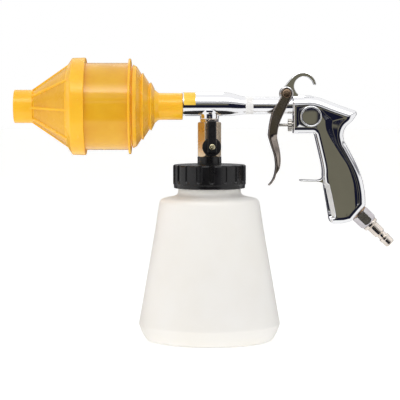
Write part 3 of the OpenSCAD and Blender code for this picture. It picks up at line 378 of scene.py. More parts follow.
floorMesh = bpy.data.meshes.new("floor")
floorMesh.from_pydata([(-9, -9, -0.0003), (9, -9, -0.0003), (9, 9, -0.0003), (-9, 9, -0.0003)], [],
                      [(0, 1, 2, 3)])
floor = bpy.data.objects.new("floor", floorMesh)
bpy.context.scene.collection.objects.link(floor)
floorMesh.materials.append(finish("matt white board", {
    "patch": 300, "colours": [(0.3, "#F4F4F3"), (0.7, "#F7F7F6")], "rough": (0.7, 0.8, 60),
    "bump": (0.01, 3), "shader": {"Emission Color": (1, 1, 1, 1), "Emission Strength": 0.3}}))
floor.visible_glossy = False
print("camera, light and floor set")


# CAD nodes that keep their shape
kept = {
    "cap_gasket": "moulded rubber", "bottle_adapter": "moulded PP black", "dip_tube": "extruded PE",
    "tube_strainer": "zinc-plated steel", "ball_seats": "skived PTFE", "seat_retainer": "milled brass",
    "valve_packing": "skived PTFE", "packing_nut": "milled brass", "valve_ball": "chrome plate",
    "ball_stem": "milled brass", "air_tube": "extruded PE", "tube_bushing": "milled brass",
    "air_jet": "milled brass", "spray_nozzle": "milled brass", "sleeve_o_rings": "moulded rubber",
    "front_screen": "zinc-plated steel", "rear_screen": "zinc-plated steel", "foam_pad": "white film",
    "inlet_washer": "copper-toned steel", "valve_sleeve": "zinc-plated steel",
    "gland_nut": "zinc-plated steel", "stem_packing": "skived PTFE", "return_spring": "zinc-plated steel",
    "valve_stem": "zinc-plated steel", "poppet_washer": "moulded rubber",
}
for name, look in kept.items():
    for spot in nodes[name].material_slots:
        spot.material = made[look]
print("CAD nodes given their finishes")


bottle = {"belly": 62, "height": 148, "neck": 26.2, "bore": 24.2, "wall": 1.6, "dish": 2.4, "seam": 0.14,
          "shrink": 0.25, "threadPitch": 5, "threadRise": 1.5, "threadWidth": 1.1, "threadStart": 136.5}


def bottleShape():
    # outer wall up to the rim and inner wall back down; the parting seam is a small ridge at the two sides,
    # and the thread is a ridge that climbs one pitch a turn round the neck
    b = bottle
    outer = np.vstack([
        [[0.4, b["dish"]], [46, b["dish"]]], curve([[48.5, 1.6], [50.5, 0.2]], 4), [[51, 0], [53, 0]],
        curve([[54, 0.3], [56.5, 2], [59.8, 7.6], [b["belly"], 14]]),
        curve([[43.9, 120.4], [42.8, 122.8], [39.9, 124.6], [31.7, 126.4], [28.4, 128.2], [27.4, 130.2]]),
        rounded([(27.4, 131.5), (27.4, 132.9, 0.4), (b["neck"], 133.9, 0.4), (b["neck"], b["height"], 0.6),
                 (b["bore"], b["height"], 0.6), (b["bore"], 146)])])
    w = b["wall"]
    inner = np.vstack([
        [[b["bore"], 133], [25.8, 130]],
        curve([[27.2, 128.4], [31, 126.2], [38.6, 123], [41, 121.6], [42.2, 119.6]]),
        curve([[b["belly"] - w, 15], [58, 8.4], [55, 4.6], [51, 3.2], [46, b["dish"] + w]]),
        [[0.4, b["dish"] + w]]])
    path = evenly(np.vstack([outer, inner]), 0, 1.1)

    def change(r, h, a):
        outside = (np.arange(len(path)) < np.argmax(path[:, 1] > b["height"] - 0.1))[:, None]
        seam = (b["seam"] * np.exp(-(r * np.abs(np.sin(a)) / 0.5) ** 2)
                * step(2, 8, h) * (1 - step(120, 128, h)))
        sag = 0.22 * np.sin(2 * a + 0.6) * step(10, 40, h) * (1 - step(96, 120, h)) * np.sin(h / 23)
        turn = (h - b["threadStart"] - b["threadPitch"] * a / (2 * pi)) / b["threadWidth"]
        nextTurn = turn - b["threadPitch"] / b["threadWidth"]
        thread = b["threadRise"] * (np.exp(-turn ** 4) + np.exp(-nextTurn ** 4))
        thread = thread * step(134.6, 136, h) * (1 - step(143, 145, h))
        return r + outside * (seam + sag - b["shrink"] * step(10, 40, h) * (1 - step(96, 120, h)) + thread)

    return lathe(path, upright, 256, change)


addPiece("bottleShell", *bottleShape(), made["blow-moulded HDPE"], "bottle", "hdpe_natural", ["bottle"],
         sharp=70)
print("bottle made")


cap = {"radius": 31.9, "low": 133.4, "top": 154, "roof": 151.8, "bore": 28.3, "hole": 10.8, "band": 4.8,
       "grooves": 18, "grooveWidth": 5, "depth": 1.15, "first": -86.5}


def capShape():
    # the skirt is cut back by the groove depth wherever it lies inside a groove, whose foot is round
    c = cap
    padZ = c["low"] + c["band"]
    skirt = c["radius"] - 0.6
    path = evenly(rounded([
        (c["hole"], c["roof"]), (c["bore"], c["roof"], 0.8), (c["bore"], c["low"], 0.3),
        (skirt - 0.2, c["low"], 0.6), (skirt, padZ - 2, 0.5), (c["radius"], padZ - 1, 0.5),
        (c["radius"], c["top"], 1.5), (c["radius"] - 5, c["top"], 0.3),
        (c["radius"] - 5.4, c["top"] - 0.3, 0.2), (14, c["top"] - 0.3, 0.3), (13.4, c["top"], 0.3),
        (c["hole"], c["top"], 0.4), (c["hole"], c["roof"])])[:-1], 0, 0.45)

    def change(r, h, a):
        pitch = 2 * pi / c["grooves"]
        d = ((a - radians(c["first"]) + pitch / 2) % pitch - pitch / 2) * c["radius"]
        below = np.minimum(h - padZ - c["grooveWidth"] / 2, 0)
        inGroove = 1 - step(c["grooveWidth"] / 2 - 0.3, c["grooveWidth"] / 2 + 0.05, np.hypot(d, below))
        return r - inGroove * np.maximum(r - (c["radius"] - c["depth"]), 0) * (r > c["bore"] + 0.5)

    return lathe(path, upright, 900, change, closed=True)


addPiece("ribbedCap", *capShape(), made["moulded PP black"], "cap", "black_pp", ["bottle_cap"], sharp=60)
print("cap made")


def merged(*shapes):
    # several (points, faces) as one
    points, faces, start = [], [], 0
    for p, f in shapes:
        points.append(np.asarray(p).reshape(-1, 3))
        faces += [[start + k for k in face] for face in f]
        start += len(points[-1])
    return np.vstack(points), faces


head = {"axis": 204.8, "tip": -170.6, "outletEnd": -154, "cone": -122.8, "ring": -119.5, "canister": -107.9,
        "rim": -68.4, "sleeve": -44.4, "end": -23.4, "radius": 38, "outlet": 14.5, "outletBore": 12.5,
        "ribs": 8, "ribTurn": 5, "ribWidth": 1.0}


def nozzleShape():
    # each rib's crest is the straight line from the outlet to the ring, and the wall is raised to it
    # where the angle is near the rib's
    n = head
    outer = rounded([
        (n["outlet"], n["tip"], 0.9), (n["outlet"], n["outletEnd"], 0.2), (13.3, n["outletEnd"] + 0.2, 0.5),
        (34.7, n["cone"] - 1.5, 0.8), (35.9, n["cone"] - 0.2, 0.4), (37.4, n["cone"], 0.6),
        (42.3, n["ring"], 1.4), (42.6, n["canister"], 0.8), (38.1, n["canister"], 0.3),
        (38.1, n["ring"] + 3)])
    lip = rounded([(n["outletBore"], n["tip"] + 4), (n["outletBore"], n["tip"], 0.5),
                   (n["outlet"], n["tip"], 0.9), (n["outlet"], n["tip"] + 4)])
    outer = np.vstack([lip[:-1], outer[1:]])
    inner = rounded([(38.1, n["ring"] + 2.2), (33, n["ring"] + 2.2), (33, n["cone"] + 2.4, 1),
                     (32.7, n["cone"], 1), (n["outletBore"], n["outletEnd"] - 1, 1.5),
                     (n["outletBore"], n["tip"] + 5)])
    path = evenly(np.vstack([outer, inner]), 0, 1.3)
    first = len(evenly(outer, 0, 1.3))
    outside = (np.arange(len(path)) < first)[:, None]
    ribAngle = np.radians(n["ribTurn"]) + 2 * pi / n["ribs"] * np.arange(n["ribs"])
    local = np.r_[np.linspace(-5.5, 5.5, 41), np.linspace(8, 37, 9)]
    angles = np.sort((ribAngle[:, None] + np.radians(local)[None, :]).ravel() % (2 * pi))
    crest = np.interp(path[:, 1], [n["outletEnd"] - 1, n["cone"] + 0.6], [n["outlet"], 37.3])[:, None]
    inCone = ((path[:, 1] > n["outletEnd"] - 0.6) & (path[:, 1] < n["cone"] + 0.1))[:, None]
    a = angles[None, :]
    off = np.abs((a - ribAngle[0] + pi / n["ribs"]) % (2 * pi / n["ribs"]) - pi / n["ribs"])
    r, h = path[:, :1] + 0 * a, path[:, 1:] + 0 * a
    high = 1 - step(n["ribWidth"] - 0.25, n["ribWidth"] + 0.35, off * crest)
    foot = 0.3 * np.exp(-(off * crest / 1.9) ** 2)
    ribbed = np.maximum(r + foot * step(0.5, 2, crest - r), r + high * (crest - r))
    r = np.where(outside & inCone, ribbed, r)
    points = alongX(n["axis"])(r * np.cos(a), r * np.sin(a), h)
    return points.reshape(-1, 3), gridQuads(len(path), len(angles), True, True).tolist()


addPiece("nozzleCone", *nozzleShape(), made["moulded PP yellow"], "gun", "yellow_pp", ["nozzle_cone"],
         sharp=50)


def shadeSkins(strips, proud=0.12, thick=0.6):
    # thin conical shells that lie just proud of the wall between two (radius, place) ends; they carry the
    # painted shade of the cone faces
    shells = []
    for (r0, x0), (r1, x1) in strips:
        d = np.array([r1 - r0, x1 - x0]) / np.hypot(r1 - r0, x1 - x0)
        out = np.array([abs(d[1]), -d[0] * np.sign(d[1])])
        a, b = np.array([r0, x0]), np.array([r1, x1])
        ring = rounded([tuple(a + out * proud) + (0.1,), tuple(b + out * proud) + (0.1,),
                        tuple(b - out * thick), tuple(a - out * thick), tuple(a + out * proud)])[:-1]
        shells.append(lathe(evenly(ring, 0, 2), alongX(head["axis"]), 192, closed=True))
    return merged(*shells)


# a darker skin over the nozzle cone's faces between the ribs: painted shade where those faces slope away from
# the light
shadedConeStrip = [(13.3 + 21.4 * share, head["outletEnd"] + 0.2 + (head["cone"] - 1.7 - head["outletEnd"]) * share)
         for share in (0.05, 0.985)]
addPiece("nozzleShadePanels", *shadeSkins([shadedConeStrip]), made["PP yellow, painted shade"], "gun", "yellow_pp", sharp=50)

canister = rounded([(33.1, head["ring"] + 2.6), (38, head["ring"] + 2.6, 0.5), (38, head["rim"] - 2.05),
                    (36, head["rim"] - 2.05), (36, head["ring"] + 7.6, 0.6),
                    (33.1, head["ring"] + 7.6, 0.3), (33.1, head["ring"] + 2.6)])[:-1]
addPiece("canisterTube", *lathe(evenly(canister, 0, 4), alongX(head["axis"]), 192, closed=True),
         made["moulded ABS amber"], "gun", "amber_abs", ["canister"])


def steppedConeShape():
    # a lip, then rings that step down like a folded bellows to the sleeve
    x, r = head["rim"], head["radius"]
    path = rounded([
        (33.9, x - 10), (35.9, x - 10, 0.4), (35.9, x - 2), (r + 3.8, x - 2, 0.5), (r + 3.8, x, 0.9),
        (r - 2.9, x, 0.5), (r - 3.2, x + 1.3, 0.3), (r - 1.3, x + 1.6, 0.4), (r - 3.2, x + 5, 0.5),
        (r - 6.5, x + 5.4, 0.6), (r - 9.8, x + 9, 0.5), (r - 8.7, x + 10, 0.4), (r - 9, x + 10.8, 0.4),
        (r - 14, x + 12, 0.7), (r - 18, x + 16, 0.6), (r - 16.7, x + 17.4, 0.4), (r - 20.8, x + 19.4, 0.8),
        (14.75, x + 20.4, 1.5), (11.75, head["sleeve"], 2.5), (11.75, head["end"], 0.9),
        (9.05, head["end"], 0.3), (9.05, head["sleeve"] - 4, 0.3), (r - 21, x + 15, 1),
        (r - 14.2, x + 8, 1), (r - 7.5, x + 2, 1), (33.9, x - 2, 1), (33.9, x - 10)])[:-1]
    return lathe(evenly(path, 0, 2), alongX(head["axis"]), 192, closed=True)


radius, rim = head["radius"], head["rim"]
# darker skins over the stepped cone's sloping faces: painted shade, the rims between them keep the bright
# yellow
addPiece("steppedShadePanels", *shadeSkins([[(radius - 3.6, rim + 5.1), (radius - 9.4, rim + 8.7)],
                                  [(radius - 10.6, rim + 11.2), (radius - 17.2, rim + 15.4)],
                                  [(radius - 18, rim + 18), (radius - 22.5, rim + 20.2)]]),
         made["PP yellow, painted shade"], "gun", "yellow_pp", sharp=50)
addPiece("steppedCone", *steppedConeShape(), made["moulded PP yellow"], "gun", "yellow_pp", ["rear_cone"],
         sharp=50)
print("foaming head made")


def hexagon(corner, turn=0.0, soft=0.4):
    # six flats: the radius is the flat's distance over the cosine of the angle from its middle, and the
    # corners are eased
    flat = corner * cos(pi / 6)

    def change(r, h, a):
        six = flat / np.cos((a - turn) % (pi / 3) - pi / 6)
        six = np.minimum(six, corner - soft * (1 - ((corner - six) / (corner - flat))) ** 2 * 0.6)
        return np.minimum(r, six)

    return change


def slab(outline, half, place):
    # a flat outline given its thickness, on both sides of its own plane
    n = len(outline)
    flat = np.vstack([np.column_stack([outline, np.full(n, -half)]),
                      np.column_stack([outline, np.full(n, half)])])
    i = np.arange(n)
    sides = np.stack([i, (i + 1) % n, (i + 1) % n + n, i + n], -1).tolist()
    return place(flat[:, 0], flat[:, 1], flat[:, 2]), sides + [i[::-1].tolist(), (i + n).tolist()]


def sideways(x0, z0, y0=0.0):
    # an outline in the upright plane of the gun, with its thickness across it
    return lambda u, v, w: np.stack([x0 + u, y0 + w, z0 + v], -1)


def across(x0, z0, side):
    # turned about an axis that runs across the gun, heights out towards one side
    return lambda u, v, h: np.stack([x0 + u, side * h, z0 + v], -1)


barrel = {"front": -23.4, "taper": 15, "taperEnd": 31.7, "axis": 206.8, "tubeAxis": 205.6,
          "headAxis": 204.8, "radius": 10.3, "tube": 7.4, "spigot": 9, "bore": 5.5, "body": 84}


def mixingBarrelShape():
    # rings whose centre drops from the thick barrel's axis to the tube's axis along the taper
    b = barrel
    taper = curve([[b["radius"], b["taper"] - 3], [9.95, b["taper"] + 3], [8.85, b["taper"] + 9],
                   [7.85, b["taperEnd"] - 3], [7.55, b["taperEnd"]]], 6)
    outer = rounded([(b["spigot"] - 1.5, -48.4), (b["spigot"], -48.4, 0.5), (b["spigot"], b["front"], 0.2),
                     (b["radius"], b["front"], 0.5), (b["radius"], b["taper"] - 6)])
    path = np.vstack([outer, taper, [[7.42, b["taperEnd"]], [7.42, 25], [b["bore"], 24.5],
                                     [b["bore"], -48.4], [b["spigot"] - 1.5, -48.4]]])
    path = evenly(path, 0, 2.5)[:-1]
    x = [-48.4, b["front"] - 0.01, b["front"], b["taper"] - 2, b["taper"] + 3, b["taperEnd"] - 4,
         b["taperEnd"]]
    z = [b["headAxis"], b["headAxis"], b["axis"], b["axis"], 206.62, 205.75, b["tubeAxis"]]

    def place(u, v, h):
        return np.stack([h, -v, np.interp(h, x, z) + u], -1)

    return lathe(path, place, 128, closed=True)


def bossShape():
    # the boss flares into the barrel above it
    path = np.vstack([rounded([(5.2, 194.6), (5.2, 193.9, 0.2), (8.3, 193.9, 0.5), (8.3, 196.2)]),
                      curve([[8.3, 196.6], [8.6, 198.2], [9.4, 199.8], [9.6, 201.4]]), [[5.2, 201.4]]])
    return lathe(path[:-1], upright, 96)


addPiece("mixingBarrel", *merged(mixingBarrelShape(), bossShape()), made["chrome tube"], "gun", "chrome",
         ["mixing_barrel"], sharp=45)

tube = rounded([(5.1, 25), (barrel["tube"], 25, 0.2), (barrel["tube"], barrel["body"], 0.3),
                (5.1, barrel["body"], 0.2), (5.1, 25)])[:-1]
addPiece("barrelTube", *lathe(evenly(tube, 0, 6), alongX(barrel["tubeAxis"]), 128, closed=True),
         made["chrome tube"], "gun", "chrome", ["barrel_tube"])

label = {"from": -22.3, "to": -12.1, "start": 12, "end": 94, "radius": 10.5, "axis": 206.8, "thick": 0.12}
tape = {"from": 31.4, "to": 38.2, "start": 0, "end": 360, "radius": 7.56, "axis": 205.6, "thick": 0.12}


def filmShape(film):
    # a film that lies on a cylinder between two angles from its top, on the near side
    a = np.radians(np.linspace(film["start"], film["end"], 73))[None, :]
    x = np.linspace(film["from"], film["to"], 9)[:, None]
    r, z = film["radius"], film["axis"]
    under = r - film["thick"]
    outside = np.stack([x + 0 * a, -r * np.sin(a) + 0 * x, z + r * np.cos(a) + 0 * x], -1)
    inside = np.stack([x + 0 * a, -under * np.sin(a) + 0 * x, z + under * np.cos(a) + 0 * x], -1)
    rows, cols = len(x), a.shape[1]
    top = gridQuads(rows, cols)
    i = np.r_[np.arange(cols), np.arange(1, rows) * cols + cols - 1,
              (rows - 1) * cols + np.arange(cols - 2, -1, -1), np.arange(rows - 2, 0, -1) * cols]
    j = np.roll(i, -1)
    n = rows * cols
    edge = np.stack([i, j, j + n, i + n], -1)
    return np.vstack([outside.reshape(-1, 3), inside.reshape(-1, 3)]), (
        top.tolist() + (top[:, ::-1] + n).tolist() + edge[:, ::-1].tolist())


addPiece("plainLabel", *filmShape(label), made["yellow film"], "gun", "yellow_pp")
addPiece("plainTape", *filmShape(tape), made["white film"], "gun", "ptfe_white")
print("barrel made")


valve = {"corner": 10.5, "turn": 8, "foot": 160.9, "top": 191.1, "ball": 169.7, "nut": 2.8,
         "nutCorner": 8.3, "packing": 10.3, "spigot": 6.5}
valveTurn = radians(valve["turn"])
leverPlace = along((0, 0, valve["ball"]), (sin(valveTurn), -cos(valveTurn), 0),
                   (cos(valveTurn), sin(valveTurn), 0))


def leverFlat(low, high):
    # the lever's outlines: right along the valve's front, up, and outwards from the valve
    out = np.array([sin(valveTurn), -cos(valveTurn), 0.0])
    right = np.array([cos(valveTurn), sin(valveTurn), 0.0])
    up = np.array([0, 0, 1.0])
    middle = (low + high) / 2
    return lambda u, v, w: (np.array([0, 0, valve["ball"]]) + u[..., None] * right + v[..., None] * up
                            + (middle + w)[..., None] * out)


def valveBodyShape():
    # six flats over a round spigot, with the packing's round boss on the lever's side
    v = valve
    body = evenly(rounded([(v["spigot"] - 2, 153), (v["spigot"], 153, 0.3), (v["spigot"], v["foot"] + 0.02),
                           (v["corner"] - 1.1, v["foot"] + 0.02, 0.1),
                           (v["corner"] + 0.1, v["foot"] + 0.9, 0.1),
                           (v["corner"] + 0.1, v["top"] - 0.9, 0.1), (v["corner"] - 1.1, v["top"], 0.1),
                           (5.9, v["top"], 0.1), (5.9, v["top"] - 1)]), 0, 0.9)
    packing = rounded([(2.6, 6), (5, 6), (5, v["packing"], 0.5), (3.6, v["packing"], 0.2),
                       (3.6, v["packing"] - 0.8)])
    return merged(lathe(body, upright, 240, hexagon(v["corner"], valveTurn)),
                  lathe(packing, leverPlace, 64))


def nippleShape():
    # the nut between the valve and the barrel's boss
    v = valve
    low, high = v["top"], v["top"] + v["nut"]
    nut = rounded([(5, low - 6), (5, low, 0.1), (v["nutCorner"] - 0.8, low, 0.1),
                   (v["nutCorner"], low + 0.5, 0.1), (v["nutCorner"], high - 0.5, 0.1),
                   (v["nutCorner"] - 0.8, high, 0.1), (5, high, 0.1), (5, low + 5)])
    return lathe(nut, upright, 240, hexagon(v["nutCorner"], valveTurn, 0.3))


addPiece("valveBody", *valveBodyShape(), made["milled brass"], "gun", "brass", ["ball_valve_body"],
         sharp=30)
addPiece("valveNipple", *nippleShape(), made["nickel plate"], "gun", "copper_steel", ["valve_nipple"],
         sharp=30)

lever = {"width": 8.8, "up": 24.5, "down": 5, "disc": 8.3, "low": 12.69, "high": 14.19, "grip": 2.4}


def armOutline(half, up, down):
    # a strip with a round end
    return np.vstack([arc(0, up - half, half, 0, 180, 25), [[-half, -down], [half, -down]]])


disc = rounded([(1.8, lever["low"]), (lever["disc"], lever["low"], 0.35),
                (lever["disc"], lever["high"], 0.35), (1.8, lever["high"])])
addPiece("leverDisc", *lathe(disc, leverPlace, 96), made["vinyl black"], "lever", "lever_black", sharp=50)
addPiece("leverArm", *slab(armOutline(lever["width"] / 2, lever["up"], lever["down"]),
                           (lever["high"] - lever["low"]) / 2 + 0.02,
                           leverFlat(lever["low"], lever["high"])),
         made["dark plate"], "lever", "lever_black", ["lever_plate"], bevel=0.4)
wedge = rounded([(0, -lever["down"]), (4, -lever["down"], 0.6), (3.2, lever["up"] - 1.6, 1.2),
                 (-3.2, lever["up"] - 1.6, 1.2), (-4, -lever["down"], 0.6), (0, -lever["down"])])[1:-1]
addPiece("leverSleeve", *slab(wedge, lever["grip"] / 2,
                              leverFlat(lever["high"], lever["high"] + lever["grip"])),
         made["vinyl black"], "lever", "lever_black", ["lever_sleeve"], bevel=0.6)

screw = {"shank": 1.0, "head": 2.7, "seat": 0.1, "domeFrom": 2.5, "dome": 3.28, "slotDepth": 0.35,
         "slotTurn": 0.5}


def screwShape(turns=96):
    # a domed head, lowered wherever the nearer of two crossed lines through its middle is closer than
    # half the slot's width
    k, face = screw, lever["high"]
    dome = curve([[2.6, face + k["domeFrom"]], [2.4, face + 3], [1.6, face + 3.2],
                  [0.05, face + k["dome"]]], 12)
    shank = [[k["shank"], lever["low"] - 4], [k["shank"], face + k["seat"]], [k["head"], face + k["seat"]]]
    rows = np.vstack([shank, dome])
    a = np.linspace(0, 2 * pi, turns, endpoint=False)[None, :]
    r, h = rows[:, :1] + 0 * a, rows[:, 1:] + 0 * a
    off = np.minimum(np.abs(r * np.cos(a - k["slotTurn"])), np.abs(r * np.sin(a - k["slotTurn"])))
    inSlot = (1 - step(0.15, 0.3, off)) * (h > face + 2.8) * (1 - step(1.5, 1.7, r))
    points = leverPlace(r * np.cos(a), r * np.sin(a), h - k["slotDepth"] * inSlot)
    ends = [list(range(turns))[::-1], list(range((len(rows) - 1) * turns, len(rows) * turns))]
    return points, gridQuads(len(rows), turns, False, True).tolist() + ends


addPiece("leverScrew", *screwShape(), made["yellow-chromated steel"], "lever", "steel", ["lever_screw"],
         sharp=50)
print("ball valve made")


inlet = {"place": (130.6, 0, 112.0), "slope": 44, "corner": 8.4, "length": 13.8}
slope = radians(inlet["slope"])
inletPlace = along(inlet["place"], (cos(slope), 0, -sin(slope)), (-sin(slope), 0, -cos(slope)))
end = inlet["length"]
adapterPath = rounded([(5, -8), (5, 1), (6.9, 1, 0.1), (8.5, 1.7, 0.1), (8.5, end - 2.4, 0.1),
                       (6.6, end, 0.3), (5.4, end, 0.2), (5.4, end - 1)])
addPiece("inletAdapter", *lathe(evenly(adapterPath, 0, 0.7), inletPlace, 240,
                                hexagon(inlet["corner"], 0, 0.4)),
         made["oiled steel"], "gun", "steel", ["inlet_adapter"], sharp=30)
plugPath = rounded([(2.4, end - 8), (5.3, end - 8), (5.3, end), (7, end, 0.3), (7, end + 2.2, 0.4),
                    (5.2, end + 3.2, 0.5), (5.2, end + 12.4, 0.4), (3.9, end + 13.4, 0.5),
                    (3.9, end + 16.6, 0.3), (4.9, end + 17.2, 0.3), (4.9, end + 19.4, 0.3),
                    (4.5, end + 20, 0.2), (4.5, end + 24.9, 0.5), (3.5, end + 25.9, 0.4),
                    (2.4, end + 25.9, 0.3), (2.4, end - 8)])[:-1]
addPiece("airPlug", *lathe(evenly(plugPath, 0, 1.5), inletPlace, 96, closed=True), made["nickel plate"],
         "gun", "nickel", ["air_plug"], sharp=45)
print("air inlet made")


casting = {"x": 73, "z": 205.6, "cheek": 12.0, "edge": 7.0, "topEdge": 4.5, "round": 6.2, "topRound": 9.5,
           "frontRound": 1.6, "tilt": 0.13, "pivot": (67, 216.1), "boss": (15.2, -9.3), "bossRadius": 9.4,
          "blend": 2.2}
nose = np.vstack([[[0, 7.6]], curve([[3, 7.8], [15, 8.2], [24, 6.4], [35, 2.2], [47, -2], [53.4, -4.1]]),
                  arc(52.5, -6.9, 2.9, 60, -40)])
back = np.vstack([curve([[53.6, -10.2], [50.6, -14.1], [45.8, -18.6], [43.5, -24.6], [44.5, -31],
                         [47.3, -36], [55.7, -52], [60.1, -63.7], [62.6, -76], [63.1, -86.9]]),
                  [[52.3, -99.6]]])
foot = np.vstack([curve([[50.2, -101.2], [44, -102.8], [36.6, -103.1]]), arc(35.6, -99.5, 3.6, 270, 190)])
grip = np.vstack([[[26.4, -67.3]], curve([[25.6, -61.3], [25.3, -53.4], [22.1, -39.2], [18.9, -26]]),
                  arc(16.9, -26.3, 2, 0, 90), [[0, -24.3]]])
spine = curve([[2.2, -8.5], [9, -8.8], [20, -9], [33, -10.5], [34.5, -16], [32.5, -24], [34, -36],
               [39.5, -52], [43.5, -68], [46, -84], [46.8, -96]], 10)
# the flat cheek under the boss, with its own curved edge against the cove behind it
cheekEdge = np.vstack([
    [[20.8, -17.5], [22.9, -24.2]], curve([[24.8, -35], [27.6, -49], [29.3, -58.3], [31, -67]], 5),
    curve([[33.6, -78], [36.6, -92], [38.2, -97.2], [41.6, -99.2], [48.2, -97.6], [53, -93.2],
           [54.2, -88]], 6),
    curve([[53.4, -77.5], [52.2, -66.9], [47.5, -53], [41.1, -42.9], [31.9, -28.2], [28.4, -20.5],
           [27.6, -13]], 6),
    [[24, -8], [14, -8]]])


def awayFrom(p, line, joined=False):
    # least distance from each point to a broken line
    a = line if joined else line[:-1]
    b = np.roll(line, -1, 0) if joined else line[1:]
    d = b - a
    t = np.clip(((p[:, None] - a) * d).sum(-1) / np.maximum((d * d).sum(-1), 1e-9), 0, 1)
    return np.linalg.norm(p[:, None] - a - t[..., None] * d, axis=-1).min(1)


def inside(p, line):
    # a point is inside when a level ray from it crosses the closed line an odd number of times
    a, b = line, np.roll(line, -1, 0)
    crosses = (a[:, 1] > p[:, None, 1]) != (b[:, 1] > p[:, None, 1])
    slope = (b[:, 0] - a[:, 0]) / np.where(b[:, 1] == a[:, 1], 1e-9, b[:, 1] - a[:, 1])
    return (crosses & (p[:, None, 0] < a[:, 0] + slope * (p[:, None, 1] - a[:, 1]))).sum(1) % 2 == 1


def quarter(d, radius):
    # height of a quarter circle at a distance in from its edge, 0 at the edge and 1 at its radius
    return np.sqrt(np.clip(1 - (1 - np.clip(d / radius, 0, 1)) ** 2, 0, 1))


def castingHeight(p):
    # half thickness: rounded over from each edge, flat on the cheek, and sunk in the cove between the
    # cheek and the back rib
    c = casting
    top = awayFrom(p, nose[:60])
    rest = np.minimum(awayFrom(p, np.vstack([nose[60:], back, foot])), awayFrom(p, grip))
    front = np.clip(p[:, 0], 0, None)
    overTop = c["topEdge"] + (c["cheek"] - c["topEdge"]) * quarter(top, c["topRound"])
    overRest = c["edge"] + (c["cheek"] - c["edge"]) * quarter(rest, c["round"])
    overFront = c["cheek"] - 3 + 3 * quarter(front, c["frontRound"])
    fromCheek = awayFrom(p, cheekEdge, True) * ~inside(p, cheekEdge)
    fromBoss = np.clip(np.linalg.norm(p - c["boss"], axis=1) - c["bossRadius"], 0, None)
    out = np.minimum(fromCheek, fromBoss)
    rise = c["tilt"] * (0.85 + 0.75 * step(-16, -30, p[:, 1]))
    fromEdges = np.minimum(rise * (rest - 5.2), c["tilt"] * (top - 8.5))
    sink = np.minimum(c["tilt"] * out, np.clip(fromEdges, 0, None))
    sink = np.minimum(sink, c["tilt"] * np.clip(front - 2.4, 0, None))
    # under the finger rest the cheek stands proud of a steep flank
    heel = 0.95 * fromCheek * step(-67.5, -69.5, p[:, 1]) * step(38, 34, p[:, 0]) * step(-99, -96, p[:, 1])
    sink = sink + np.minimum(heel, 3.6) * step(0.2, 2.5, rest)
    # the least of the three, with its creases rounded: minus the log of the sum of falling exponentials
    h = -np.log(sum(np.exp(-c["blend"] * over) for over in (overTop, overRest, overFront))) / c["blend"]
    return np.minimum(h + 0.3, c["cheek"]) - sink


def castingShape(outlineSteps=250, inwardSteps=72):
    # each point of the outline is joined to its place on the spine by a straight row, and both sides
    # share the edge band
    upper = evenly(np.vstack([[[0, -8.5]], nose, back, foot[:12]]), outlineSteps)
    lower = evenly(np.vstack([[[0, -8.5]], grip[::-1], foot[:11:-1]]), outlineSteps)
    lower[-1] = upper[-1]
    # rows reach the spine where both sides pass the same stretch of the grip
    knots = np.array([0, 0.04, 0.14, 0.30, 0.36, 0.44, 0.52, 0.70, 0.88, 1.0])
    upperKnots = np.array([0, 0.08, 0.20, 0.41, 0.47, 0.53, 0.58, 0.73, 0.88, 1.0])
    lowerKnots = np.array([0, 0.10, 0.22, 0.29, 0.32, 0.38, 0.44, 0.64, 0.86, 1.0])
    u = np.linspace(0, 1, outlineSteps)
    line = evenly(spine, 400)
    s = np.linspace(0, 1, 400)

    def at(path, t):
        n = np.linspace(0, 1, len(path))
        return np.column_stack([np.interp(t, n, path[:, 0]), np.interp(t, n, path[:, 1])])

    onSpine = np.interp(u, np.linspace(0, 1, 10), knots)
    middle = np.column_stack([np.interp(onSpine, s, line[:, k]) for k in (0, 1)])
    upper = at(evenly(upper, 900), np.interp(u, np.linspace(0, 1, 10), upperKnots))
    lower = at(evenly(lower, 900), np.interp(u, np.linspace(0, 1, 10), lowerKnots))
    ring = np.vstack([upper, lower[-2:0:-1]])
    hub = np.vstack([middle, middle[-2:0:-1]])
    t = np.linspace(0, 1, inwardSteps) ** 1.5
    flat = ring[:, None] * (1 - t[None, :, None]) + hub[:, None] * t[None, :, None]
    h = castingHeight(flat.reshape(-1, 2)).reshape(flat.shape[:2])
    band = np.linspace(-1, 1, 7)[1:-1]
    edge = np.repeat(ring[:, None], 5, 1)
    x = np.concatenate([flat[:, ::-1, 0], edge[..., 0], flat[..., 0]], 1) + casting["x"]
    z = np.concatenate([flat[:, ::-1, 1], edge[..., 1], flat[..., 1]], 1) + casting["z"]
    y = np.concatenate([-h[:, ::-1], h[:, :1] * band[None, :], h], 1)
    return np.stack([x, y, z], -1).reshape(-1, 3), gridQuads(len(ring), x.shape[1], True, False).tolist()


addPiece("gunCasting", *castingShape(), made["chrome plate"], "gun", "chrome", ["gun_body"], sharp=80)

